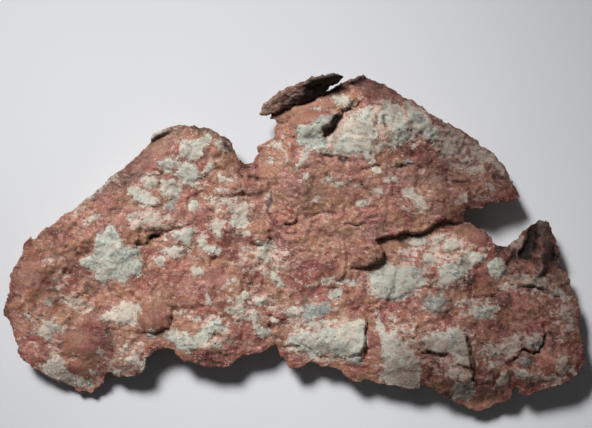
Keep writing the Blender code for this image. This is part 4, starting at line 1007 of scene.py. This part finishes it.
def sheet_facts(points):
    """What the relief and the looks of the sheet both build on, for every point of the flat blank."""
    plan = points[:, :2].copy()
    level = np.clip(points[:, 2] / PLATE_HALF, -1, 1)
    rim_distance, _, _ = nearest_on_line(plan, OUTLINE + OUTLINE[:1])
    depth, tone = crust_on_face(plan)
    back_depth, back_tone = crust_on_back(plan)
    flake_height, flake_foot = flakes(ragged(plan, 5.0, 1.2, 51), 55)
    hackly = hackly_skin(plan)
    knobs = knobbly(plan)
    return SimpleNamespace(
        plan=plan,
        level=level,
        on_face=level > 0,
        rim_distance=rim_distance,
        inner=smooth_step(rim_distance / RIM_REACH),
        depth=depth,
        tone=tone,
        back_depth=back_depth,
        back_tone=back_tone,
        flake_height=flake_height,
        flake_foot=flake_foot,
        hackly=hackly,
        knobs=knobs,
        rough_skin=hackly * (1 + 0.9 * knobs),
        smoothness=calm(plan),
    )


def sheet_skins(sheet):
    """Height of the fine skin of the face and of the underside, lower on crust and on calm copper."""
    crust = smooth_step((sheet.depth + 0.1) / 0.8)
    back_crust = smooth_step((sheet.back_depth + 0.1) / 0.8)
    crust_height = 0.2 + 0.14 * smooth_step(sheet.depth / 2.5)
    crust_height = crust_height + 0.13 * grain(sheet.plan, 1.3, 34) + 0.06 * grain(sheet.plan, 3.2, 35)
    face = sheet.rough_skin * (1 - 0.55 * crust * (1 - sheet.knobs)) + crust * crust_height
    face = face + sheet.flake_height * (1 - 0.5 * crust)
    face = face * (1 - 0.6 * sheet.smoothness)
    back = 0.8 * sheet.hackly * (1 - 0.5 * back_crust) + back_crust * crust_height
    return face, back


def sheet_looks(sheet):
    """What the material and the grains read from the sheet: for each name, its face and its underside."""
    plan = sheet.plan
    rough = 1 - sheet.smoothness
    rim_brown = 0.16 * smooth_step(1 - sheet.rim_distance / 3.5)
    brown = np.clip(copper_tone(plan, sheet.on_face) - rim_brown, 0, 1)
    # painted shade at the feet of the flake steps
    step_foot_shade = sheet.flake_foot * smooth_step((grain(plan, 5, 28) + 0.1) / 0.5) * rough
    at_crust = smooth_step(1 - np.abs(sheet.depth) / 0.9)
    hackly_rim = smooth_step(1 - sheet.rim_distance / 3.0) * (1 - smooth_rim(plan))
    grain_share = np.clip(0.55 * hackly_rim + (0.4 * at_crust + 0.08) * rough, 0, 1)
    return {
        "crust_depth": (np.clip(sheet.depth, -3, 3), np.clip(sheet.back_depth, -3, 3)),
        "crust_tone": (np.clip(sheet.tone, 0, 1), np.clip(sheet.back_tone, 0, 1)),
        "copper_tone": (brown, brown),
        # painted shade of the cracks, ledge feet and hollows, on the face only
        "painted_shade": (painted_shade(plan), 0.0),
        "dust": (dust(plan), 0.4 + 0.3 * grain(plan, 12, 27)),
        "grain_share": (grain_share, 0.2 * hackly_rim),
        "step_foot_shade": (step_foot_shade, step_foot_shade),
        "calm": (sheet.smoothness, 0.0),
        "patina": (patina(plan), 0.4 + 0.3 * grain(plan, 20, 29)),
        "darker_film": (darker_film(plan), 0.4),
        "fine_height": (sheet.rough_skin, 0.8 * sheet.hackly),
    }


def crumple(blank):
    """Bends the flat blank, frays its rim, raises the relief of both faces and records its looks."""
    points = points_of(blank)
    sheet = sheet_facts(points)
    plan = sheet.plan
    plates = coarse_plates(points)
    face_skin, back_skin = sheet_skins(sheet)
    half = RIM_HALF + (BODY_HALF - RIM_HALF) * sheet.inner
    keep = RELIEF_AT_RIM + (1 - RELIEF_AT_RIM) * sheet.inner
    skin_keep = SKIN_AT_RIM + (1 - SKIN_AT_RIM) * sheet.inner
    face_rough = (0.42 * plates + 0.5 * hackle(points, 7, 1)) * (1 - 0.5 * sheet.smoothness)
    face = half + keep * (face_relief(plan) + face_rough) + face_skin * skin_keep + rolled_lips(plan)
    back_rough = back_relief(plan) + 0.6 * plates + 1.6 * hackle(points, 14, 2)
    back = half + keep * back_rough + back_skin * skin_keep
    thickness = np.maximum(np.where(sheet.on_face, face, back), THINNEST_HALF)
    height = spine_height(plan) + sheet.level * thickness
    edge = smooth_step(1 - sheet.rim_distance / FRAYED_REACH)
    points[:, :2] += RIM_FRAY * edge[:, None] * drift(plan, 1.8, 36)
    points[:, 2] = np.maximum(height, 0)
    set_points(blank, points)
    for name, (on_face, on_back) in sheet_looks(sheet).items():
        set_value(blank, name, np.where(sheet.on_face, on_face, on_back))
    return blank


def seat(obj):
    """Puts the plan centre at the origin and the feet flat on the floor, as the solid has them."""
    points = points_of(obj)
    low = points.min(axis=0)
    points[:, 2] -= low[2]
    points[points[:, 2] < FOOT_LEVEL, 2] = 0
    solid_centre = (np.array(cad_low) + np.array(cad_high))[:2] / (2 * MM)
    shift = solid_centre - (low[:2] + points.max(axis=0)[:2]) / 2
    points[:, :2] += shift
    set_points(obj, points)
    return shift


def curled_flap():
    """A strip between two edges in space, bulging outwards, with the sheet's thickness and a hackly skin."""
    stations = len(FLAP_LOWER_EDGE)
    bm = bmesh.new()
    bmesh.ops.create_grid(bm, x_segments=stations - 1, y_segments=FLAP_ROWS - 1, size=1)
    lower = np.array(FLAP_LOWER_EDGE, float)
    upper = np.array(FLAP_UPPER_EDGE, float)
    shares = []
    for vert in bm.verts:
        station = round((vert.co.x + 1) / 2 * (stations - 1))
        rise = (vert.co.y + 1) / 2
        place = lower[station] * (1 - rise) + upper[station] * rise
        place[1] += FLAP_BULGES[station] * math.sin(math.pi * rise)
        vert.co = place * MM
        shares.append(FLAP_THICKNESS_SHARES[station])
    mesh = bpy.data.meshes.new("flap")
    bm.to_mesh(mesh)
    bm.free()
    flap = mesh_object("flap", mesh)
    group = flap.vertex_groups.new(name="thickness")
    for index, share in enumerate(shares):
        group.add([index], share, "REPLACE")
    solidify = flap.modifiers.new("Thickness", "SOLIDIFY")
    solidify.vertex_group = "thickness"
    solidify.thickness = FLAP_THICKNESS * MM
    solidify.offset = 0
    subdivide = flap.modifiers.new("Round", "SUBSURF")
    subdivide.levels = 1
    subdivide.render_levels = 1
    flap = voxel_remesh(baked(flap, "flap_solid"), "curled_flap", FLAP_VOXEL)
    points = points_of(flap)
    lump = FLAP_LUMPS * hackle(points, 5, 6) + 0.5 * hackle(points, 1.8, 7) + 0.22 * hackle(points, 0.9, 8)
    set_points(flap, points + lump[:, None] * normals_of(flap))
    # Painted shade on the flap: its part right of x = 5, its face below the lit edge and its underside are
    # painted darker, and its copper tone is darker on the right
    left = smooth_step((5 - points[:, 0]) / 5)
    from_edge, side, _ = nearest_on_line(points[:, :2], FLAP_LIT_EDGE)
    shade = smooth_step(0.5 - side * from_edge / 1.6) * smooth_step((points[:, 0] + 11) / 4)
    top_face = normals_of(flap)[:, 2] > -0.2
    everywhere = np.ones(len(points))
    looks = {
        "crust_depth": -3.0 * everywhere,
        "crust_tone": 0.25 * everywhere,
        "copper_tone": np.clip(0.04 + 0.34 * left + 0.15 * hackle(points, 3, 10), 0, 1),
        "painted_shade": np.where(top_face, np.clip(0.3 * (1 - left) + 0.68 * shade, 0, 1), 0.3),
        "dust": 0.35 * left,
        "patina": 0.85 + 0.15 * hackle(points, 4, 12),
        "calm": 0.0 * everywhere,
        "step_foot_shade": 0.0 * everywhere,
        "darker_film": 0.0 * everywhere,
        "fine_height": 0.3 * hackle(points, 1.2, 11),
    }
    for name, values in looks.items():
        set_value(flap, name, values)
    return flap


class Nodes:
    """A short way to add shader nodes and link them."""

    def __init__(self, name):
        self.material = bpy.data.materials.new(name)
        self.material.use_nodes = True
        self.tree = self.material.node_tree
        self.shader = self.tree.nodes["Principled BSDF"]

    def add(self, kind, settings=None, **inputs):
        node = self.tree.nodes.new("ShaderNode" + kind)
        for key, value in (settings or {}).items():
            setattr(node, key, value)
        for key, value in inputs.items():
            self.feed(node.inputs[key.replace("_", " ")], value)
        return node

    def feed(self, socket, value):
        if isinstance(value, bpy.types.NodeSocket):
            self.tree.links.new(value, socket)
        else:
            socket.default_value = value

    def value(self, name):
        return self.add("Attribute", {"attribute_name": name}).outputs["Fac"]

    def math(self, operation, first, second=0.0, third=0.0, clamp=False):
        node = self.add("Math", {"operation": operation, "use_clamp": clamp})
        for socket, value in zip(node.inputs, (first, second, third)):
            self.feed(socket, value)
        return node.outputs[0]

    def step(self, value, low, high, to_low=0.0, to_high=1.0):
        node = self.add("MapRange", {"interpolation_type": "SMOOTHSTEP"}, Value=value)
        for key, number in {"From Min": low, "From Max": high, "To Min": to_low, "To Max": to_high}.items():
            self.feed(node.inputs[key], number)
        return node.outputs["Result"]

    def noise(self, place, size, detail=4.0, roughness=0.6, shift=0.0, stretch=1.0):
        """Noise with features of a size in mm, from 0 to 1; a stretch below 1 makes them longer along X."""
        mapping = self.add("Mapping", Vector=place)
        mapping.inputs["Location"].default_value = (shift, 2 * shift, 3 * shift)
        mapping.inputs["Scale"].default_value = (stretch, 1, 1)
        node = self.add("TexNoise", Vector=mapping.outputs[0])
        self.feed(node.inputs["Scale"], 1 / (size * MM))
        self.feed(node.inputs["Detail"], detail)
        self.feed(node.inputs["Roughness"], roughness)
        return node.outputs["Fac"]

    def cells(self, place, size, output="Distance"):
        node = self.add("TexVoronoi", Vector=place)
        self.feed(node.inputs["Scale"], 1 / (size * MM))
        return node.outputs[output]

    def pushed(self, place, size, reach):
        """The place pushed about by noise; size and reach in mm."""
        drift = self.add("TexNoise", Vector=place)
        self.feed(drift.inputs["Scale"], 1 / (size * MM))
        self.feed(drift.inputs["Detail"], 3.0)
        node = self.add("VectorMath", {"operation": "MULTIPLY_ADD"})
        self.feed(node.inputs[0], drift.outputs["Color"])
        self.feed(node.inputs[1], (reach * MM, reach * MM, reach * MM))
        self.feed(node.inputs[2], place)
        return node.outputs[0]

    def ramp(self, value, stops):
        node = self.add("ValToRGB", Fac=value)
        ramp = node.color_ramp
        while len(ramp.elements) < len(stops):
            ramp.elements.new(0.5)
        for element, (place, colour) in zip(ramp.elements, stops):
            element.position = place
            element.color = colour_of(colour)
        return node.outputs["Color"]

    def mix(self, amount, first, second, blend="MIX"):
        node = self.add("Mix", {"data_type": "RGBA", "blend_type": blend})
        self.feed(node.inputs[0], amount)
        self.feed(node.inputs[6], first)
        self.feed(node.inputs[7], second)
        return node.outputs[2]

    def tinted(self, base, amount, tint, blend="MIX"):
        return self.mix(amount, base, colour_of(TINTS[tint]), blend)


def colour_of(shade):
    """A colour given as it looks on screen, 0 to 255, as linear light."""
    linear = [(c / 255 / 12.92) if c <= 10 else ((c / 255 + 0.055) / 1.055) ** 2.4 for c in shade]
    return (*linear, 1.0)


# Ramps of tone and tints, with each colour as it looks on screen, from 0 to 255
COPPER_STOPS = [
    (0.0, (50, 40, 36)), (0.18, (104, 62, 54)), (0.34, (142, 87, 77)), (0.48, (162, 115, 102)),
    (0.62, (174, 128, 110)), (0.78, (174, 118, 88)), (1.0, (214, 180, 164)),
]
CRUST_STOPS = [
    (0.0, (218, 204, 188)), (0.3, (204, 195, 179)), (0.55, (202, 199, 184)), (0.72, (204, 212, 198)),
    (0.86, (168, 172, 165)), (1.0, (138, 143, 140)),
]
PATINA_STOPS = [(0.3, (78, 60, 51)), (0.5, (126, 102, 89)), (0.62, (154, 130, 115)), (0.75, (188, 166, 149))]
TINTS = {
    "red": (156, 86, 80),
    "ochre": (166, 126, 96),
    "tangerine": (174, 108, 78),
    "worn pale": (202, 164, 150),
    "brown": (96, 64, 56),
    "bright fleck": (222, 190, 174),
    "warm dust": (212, 182, 166),
    "grey dust": (206, 198, 182),
    "haze": (196, 172, 158),
    "pink crust": (196, 168, 156),
    "stained crust": (172, 168, 154),
    # white specks of the crust, partly painted glints
    "white speck and glint": (230, 226, 214),
    "pit": (112, 100, 88),
    "dull crust": (148, 138, 128),
    # painted shadow along the crust's edges
    "edge_shadow": (92, 66, 58),
    # darker in the low places of the fine relief
    "low_darkening": (84, 60, 52),
    # painted shade at the feet of the flake steps
    "step_foot_shade": (62, 42, 36),
    # painted shade in hairline cracks
    "hairline_shade": (58, 38, 33),
    # multiplies the colour to make zones darker
    "darker_film": (180, 166, 166),
    # painted shade for the hollows, cracks and ledge feet
    "painted hollow shade": (26, 19, 17),
}


def shared_textures(n):
    """The textures that copper and crust share, from 0 to 1; each one's first number is its size in mm."""
    place = n.add("TexCoord").outputs["Object"]
    broken = n.cells(n.pushed(place, 3.5, 3.2), 6.5, "Color")
    chipped = n.cells(n.pushed(place, 1.6, 0.6), 2.5, "Color")
    return SimpleNamespace(
        place=place,
        broad=n.noise(place, 9, 3, 0.55, 1.0),
        middle=n.noise(place, 2.6, 4, 0.65, 2.0),
        fine=n.noise(place, 0.9, 3, 0.7, 3.0),
        speck=n.noise(place, 0.5, 2, 0.6, 4.0),
        fleck=n.noise(place, 1.9, 4, 0.75, 5.0, 0.65),
        streak=n.noise(place, 1.3, 3, 0.7, 6.0, 0.55),
        height=n.value("fine_height"),
        lively=n.math("MULTIPLY_ADD", n.value("calm"), -0.6, 1.0),
        plate=n.add("SeparateColor", Color=broken).outputs,
        chip=n.add("SeparateColor", Color=chipped).outputs,
    )


def copper_colour(n, t):
    """Bare copper and its tone: tints of red, ochre, orange, pale and brown, dull where it is weathered."""
    tone = n.value("copper_tone")
    tone = n.math("ADD", tone, n.step(t.broad, 0.3, 0.7, -0.06, 0.06))
    tone = n.math("MULTIPLY_ADD", n.math("SUBTRACT", t.plate["Red"], 0.5), 0.26, tone)
    tone = n.math("ADD", tone, n.step(t.middle, 0.3, 0.7, -0.08, 0.08))
    tone = n.math("ADD", tone, n.math("MULTIPLY", t.lively, n.step(t.fine, 0.3, 0.7, -0.10, 0.10)))
    tone = n.math("MULTIPLY_ADD", t.height, 0.16, tone)
    copper = n.ramp(tone, COPPER_STOPS)
    red = n.step(n.noise(t.place, 4.2, 3, 0.7, 9.0, 0.7), 0.55, 0.66, 0.0, 0.3)
    red = n.math("MAXIMUM", red, n.step(t.plate["Green"], 0.66, 0.74, 0.0, 0.5))
    copper = n.tinted(copper, red, "red")
    ochre = n.step(n.noise(t.place, 5.0, 3, 0.7, 10.0, 0.7), 0.54, 0.66, 0.0, 0.3)
    ochre = n.math("MAXIMUM", ochre, n.step(t.plate["Blue"], 0.64, 0.72, 0.0, 0.5))
    copper = n.tinted(copper, ochre, "ochre")
    tangerine = n.step(n.noise(t.place, 3.6, 3, 0.7, 14.0, 0.8), 0.57, 0.65, 0.0, 0.55)
    copper = n.tinted(copper, tangerine, "tangerine")
    pale = n.math("MULTIPLY", n.step(t.streak, 0.55, 0.64), n.step(t.middle, 0.38, 0.6, 0.3, 0.8))
    copper = n.tinted(copper, n.math("MULTIPLY", pale, t.lively), "worn pale")
    brown = n.math("MULTIPLY", n.step(t.streak, 0.43, 0.33, 0.0, 0.5), t.lively)
    copper = n.tinted(copper, brown, "brown")
    bright = n.math("MULTIPLY", n.step(t.speck, 0.58, 0.65, 0.0, 0.8), n.step(t.fleck, 0.4, 0.6, 0.2, 1.0))
    copper = n.tinted(copper, n.math("MULTIPLY", bright, t.lively), "bright fleck")
    worn = n.ramp(n.math("MULTIPLY_ADD", t.lively, n.math("SUBTRACT", t.fine, 0.5), t.streak), PATINA_STOPS)
    return n.mix(n.math("MULTIPLY", n.value("patina"), 0.85), copper, worn), tone


def dusted(n, t, copper, depth):
    """The copper with a dust of crust on it, thicker round the patches."""
    halo = n.step(depth, -2.2, 0.0, 0.0, 0.5)
    powder = n.math("MULTIPLY", n.math("MAXIMUM", n.value("dust"), halo), t.lively)
    limit = n.math("MULTIPLY_ADD", powder, -0.36, 0.70)
    dusty = n.step(n.math("SUBTRACT", t.fleck, limit), -0.02, 0.1, 0.0, 0.85)
    dust_colour = n.tinted(colour_of(TINTS["warm dust"]), n.step(t.middle, 0.42, 0.58), "grey dust")
    copper = n.mix(dusty, copper, dust_colour)
    haze = n.math("MULTIPLY", n.step(depth, -1.0, 0.3, 0.0, 0.35), t.lively)
    return n.tinted(copper, haze, "haze")


def crust_edge(n, t, depth):
    """How deep inside the crust a place is, in mm, with chips and gaps taken out of the patches."""
    edge = n.math("ADD", depth, n.step(t.middle, 0.28, 0.72, -0.6, 0.6))
    edge = n.math("ADD", edge, n.step(t.fine, 0.25, 0.75, -0.35, 0.35))
    edge = n.math("ADD", edge, n.step(t.speck, 0.25, 0.75, -0.2, 0.2))
    gaps = n.step(n.noise(t.place, 1.9, 4, 0.75, 13.0, 0.75), 0.57, 0.66, 0.0, 1.3)
    edge = n.math("SUBTRACT", edge, gaps)
    return n.math("MULTIPLY_ADD", n.math("SUBTRACT", t.chip["Red"], 0.5), 1.1, edge)


def crust_colour(n, t):
    """The mineral crust with its pink, stained, pitted and dulled places, and white specks that are partly
    painted glints.
    """
    tone = n.math("ADD", n.value("crust_tone"), n.step(t.middle, 0.3, 0.7, -0.12, 0.12))
    tone = n.math("MULTIPLY_ADD", n.math("SUBTRACT", t.chip["Green"], 0.5), 0.16, tone)
    tone = n.math("ADD", tone, n.step(t.fine, 0.3, 0.7, -0.12, 0.12))
    crust = n.ramp(tone, CRUST_STOPS)
    pink = n.step(n.noise(t.place, 2.0, 4, 0.75, 7.0, 0.7), 0.5, 0.66, 0.0, 0.6)
    crust = n.tinted(crust, pink, "pink crust")
    stain = n.step(n.noise(t.place, 3.0, 3, 0.7, 11.0), 0.5, 0.66, 0.0, 0.5)
    crust = n.tinted(crust, stain, "stained crust")
    # white specks, partly real and partly painted glints
    crust = n.tinted(crust, n.step(t.speck, 0.6, 0.67, 0.0, 0.45), "white speck and glint")
    pits = n.step(n.noise(t.place, 0.9, 3, 0.7, 8.0), 0.59, 0.66, 0.0, 0.65)
    crust = n.tinted(crust, pits, "pit")
    return n.tinted(crust, n.math("MULTIPLY", n.value("patina"), 0.5), "dull crust")


def darkened(n, t, colour, edge):
    """The colour with painted shadow along the crust's edges, darker low places, painted shade at the feet of
    flake steps, in hairline cracks and in hollows, and zones made darker.
    """
    # painted shadow along the crust's edges, broken by noise
    edge_shadow = n.step(n.math("ABSOLUTE", n.math("ADD", edge, 0.2)), 0.24, 0.06, 0.0, 0.6)
    edge_shadow = n.math("MULTIPLY", edge_shadow, n.step(n.noise(t.place, 2.2, 2, 0.6, 15.0), 0.46, 0.6))
    colour = n.tinted(colour, edge_shadow, "edge_shadow")
    # darker where the fine relief is low
    colour = n.tinted(colour, n.step(t.height, -0.10, -0.36, 0.0, 0.3), "low_darkening")
    # painted shade at the feet of the flake steps
    step_foot_shade = n.math("MULTIPLY", n.value("step_foot_shade"), n.step(t.fine, 0.3, 0.6, 0.1, 0.45))
    colour = n.tinted(colour, step_foot_shade, "step_foot_shade")
    # painted shade of hairline cracks, drawn in colour only where a noise crosses its middle
    hairline = n.math("ABSOLUTE", n.math("SUBTRACT", n.noise(t.place, 6.5, 3, 0.6, 12.0, 0.6), 0.5))
    hairline_shade = n.math("MULTIPLY", n.step(hairline, 0.007, 0.002), n.step(t.broad, 0.5, 0.6, 0.0, 0.65))
    colour = n.tinted(colour, n.math("MULTIPLY", hairline_shade, t.lively), "hairline_shade")
    # zones made darker by multiplying
    film = n.math("MULTIPLY", n.value("darker_film"), n.step(t.middle, 0.3, 0.65, 1.0, 0.75))
    colour = n.tinted(colour, film, "darker_film", "MULTIPLY")
    # painted shade in the cracks, ledge feet and hollows
    dark = n.math("ADD", n.value("painted_shade"), n.step(t.fine, 0.3, 0.7, -0.08, 0.08), clamp=True)
    return n.tinted(colour, dark, "painted hollow shade")


def copper_and_crust():
    """Red-brown copper under patches of dull mineral crust, with dust, speckles and dark pits."""
    n = Nodes("native_copper_and_crust")
    t = shared_textures(n)
    depth = n.value("crust_depth")
    edge = crust_edge(n, t, depth)
    crust = n.step(edge, -0.16, 0.2, 0.0, 0.96)
    copper, tone = copper_colour(n, t)
    colour = n.mix(crust, dusted(n, t, copper, depth), crust_colour(n, t))
    n.feed(n.shader.inputs["Base Color"], darkened(n, t, colour, edge))

    bare = n.math("SUBTRACT", 1.0, crust)
    n.feed(n.shader.inputs["Metallic"], n.math("MULTIPLY", bare, n.step(tone, 0.1, 0.9, 0.05, 0.2)))
    shine = n.step(t.speck, 0.35, 0.7, 0.7, 0.5)
    rough = n.math("ADD", n.math("MULTIPLY", shine, bare), n.math("MULTIPLY", 0.92, crust))
    n.feed(n.shader.inputs["Roughness"], rough)
    n.shader.inputs["Specular IOR Level"].default_value = 0.3

    grit = n.math("ADD", n.math("MULTIPLY", t.fine, 0.5), n.math("MULTIPLY", t.speck, 0.35))
    grit = n.math("ADD", grit, n.math("MULTIPLY", n.cells(t.place, 1.1), 0.35))
    bump = n.add("Bump", Height=grit)
    bump.inputs["Strength"].default_value = 0.7
    bump.inputs["Distance"].default_value = 0.45 * MM
    n.feed(n.shader.inputs["Normal"], bump.outputs[0])
    return n.material


def floor_material():
    n = Nodes("pale_floor")
    place = n.add("TexCoord").outputs["Object"]
    mottle = n.noise(place, 120, 2, 0.5)
    n.feed(n.shader.inputs["Base Color"], n.ramp(mottle, [(0.3, (222, 223, 226)), (0.7, (226, 227, 229))]))
    n.shader.inputs["Roughness"].default_value = 0.85
    return n.material


def grain_tree(material):
    """Geometry Nodes that strew small angular grains where the surface's grain_share asks for them."""
    tree = bpy.data.node_groups.new("strew_grains", "GeometryNodeTree")
    face = tree.interface
    face.new_socket("Geometry", in_out="INPUT", socket_type="NodeSocketGeometry")
    for label in ("Grains per square metre", "Smallest", "Largest"):
        face.new_socket(label, in_out="INPUT", socket_type="NodeSocketFloat")
    face.new_socket("Seed", in_out="INPUT", socket_type="NodeSocketInt")
    face.new_socket("Geometry", in_out="OUTPUT", socket_type="NodeSocketGeometry")
    entry = tree.nodes.new("NodeGroupInput")
    leave = tree.nodes.new("NodeGroupOutput")

    def add(kind, **settings):
        node = tree.nodes.new(kind)
        for key, value in settings.items():
            setattr(node, key, value)
        return node

    link = tree.links.new
    share = add("GeometryNodeInputNamedAttribute", data_type="FLOAT")
    share.inputs["Name"].default_value = "grain_share"
    density = add("ShaderNodeMath", operation="MULTIPLY")
    link(share.outputs["Attribute"], density.inputs[0])
    link(entry.outputs["Grains per square metre"], density.inputs[1])
    strew = add("GeometryNodeDistributePointsOnFaces", distribute_method="RANDOM")
    link(entry.outputs["Geometry"], strew.inputs["Mesh"])
    link(density.outputs[0], strew.inputs["Density"])
    link(entry.outputs["Seed"], strew.inputs["Seed"])
    size = add("FunctionNodeRandomValue", data_type="FLOAT_VECTOR")
    lows = add("ShaderNodeCombineXYZ")
    highs = add("ShaderNodeCombineXYZ")
    for axis in ("X", "Y", "Z"):
        link(entry.outputs["Smallest"], lows.inputs[axis])
        link(entry.outputs["Largest"], highs.inputs[axis])
    link(lows.outputs[0], size.inputs["Min"])
    link(highs.outputs[0], size.inputs["Max"])
    link(entry.outputs["Seed"], size.inputs["Seed"])
    turn = add("FunctionNodeRandomValue", data_type="FLOAT_VECTOR")
    turn.inputs["Max"].default_value = (FULL_TURN, FULL_TURN, FULL_TURN)
    link(entry.outputs["Seed"], turn.inputs["Seed"])
    seed_shape = add("GeometryNodeMeshIcoSphere")
    seed_shape.inputs["Radius"].default_value = 0.5
    seed_shape.inputs["Subdivisions"].default_value = 1
    place = add("GeometryNodeInstanceOnPoints")
    link(strew.outputs["Points"], place.inputs["Points"])
    link(seed_shape.outputs["Mesh"], place.inputs["Instance"])
    link(turn.outputs["Value"], place.inputs["Rotation"])
    link(size.outputs["Value"], place.inputs["Scale"])
    real = add("GeometryNodeRealizeInstances")
    link(place.outputs["Instances"], real.inputs["Geometry"])
    finish = add("GeometryNodeSetMaterial")
    finish.inputs["Material"].default_value = material
    link(real.outputs["Geometry"], finish.inputs["Geometry"])
    link(finish.outputs["Geometry"], leave.inputs["Geometry"])
    return tree


def strewn_grains(name, surface, tree):
    """One plain mesh of all the grains that the tree strews over a surface."""
    holder = mesh_object(name + "_holder", surface.data.copy())
    modifier = holder.modifiers.new("Grains", "NODES")
    modifier.node_group = tree
    sizes = {
        "Grains per square metre": GRAINS_PER_SQUARE_MM * 1e6,
        "Smallest": SMALLEST_GRAIN * MM,
        "Largest": LARGEST_GRAIN * MM,
        "Seed": GRAIN_SEED,
    }
    for socket in tree.interface.items_tree:
        if socket.in_out == "INPUT" and socket.name in sizes:
            modifier[socket.identifier] = sizes[socket.name]
    return baked(holder, name)


def area_light(name, place, target, size, power, spread):
    """A round lamp that looks from its place towards the target."""
    data = bpy.data.lights.new(name, "AREA")
    data.shape = "DISK"
    data.size = size
    data.energy = power
    data.spread = spread
    light = bpy.data.objects.new(name, data)
    light.location = place
    light.rotation_euler = (Vector(target) - Vector(place)).to_track_quat("-Z", "Y").to_euler()
    bpy.context.scene.collection.objects.link(light)


def studio():
    """A plain pale floor, soft light from the top left, and a camera that looks straight down."""
    bpy.ops.mesh.primitive_plane_add(size=FLOOR_SIZE)
    floor = bpy.context.object
    floor.name = "floor"
    floor.data.materials.append(floor_material())

    area_light("key", LAMP_PLACE, LAMP_TARGET, LAMP_SIZE, LAMP_POWER, math.radians(LAMP_SPREAD))
    world = bpy.data.worlds.new("studio")
    world.use_nodes = True
    background = world.node_tree.nodes["Background"]
    background.inputs["Color"].default_value = SKY_COLOUR
    background.inputs["Strength"].default_value = SKY_STRENGTH
    bpy.context.scene.world = world
    bpy.context.scene.view_settings.view_transform = "Standard"

    camera_data = bpy.data.cameras.new("camera")
    camera_data.lens = LENS
    camera_data.sensor_width = SENSOR_WIDTH
    camera = bpy.data.objects.new("camera", camera_data)
    view_width = PHOTO_WIDTH * MM_PER_PIXEL * MM
    view_distance = view_width * LENS / SENSOR_WIDTH
    camera.location = (VIEW_CENTRE[0] * MM, VIEW_CENTRE[1] * MM, SPINE_HEIGHT * MM + view_distance)
    bpy.context.scene.collection.objects.link(camera)
    bpy.context.scene.camera = camera


def main():
    material = copper_and_crust()
    surface = crumple(thinned_back(flat_blank()))
    surface.name = "sheet_surface"
    shift = seat(surface)
    flap = curled_flap()
    set_points(flap, points_of(flap) + np.array([shift[0], shift[1], 0]))
    for piece in (surface, flap):
        piece.data.materials.clear()
        piece.data.materials.append(material)
        piece.data.shade_smooth()
        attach(piece, "root")
    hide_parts("copper_sheet")
    grains = strewn_grains("hackly_grains", surface, grain_tree(material))
    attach(grains, "root")
    studio()


main()
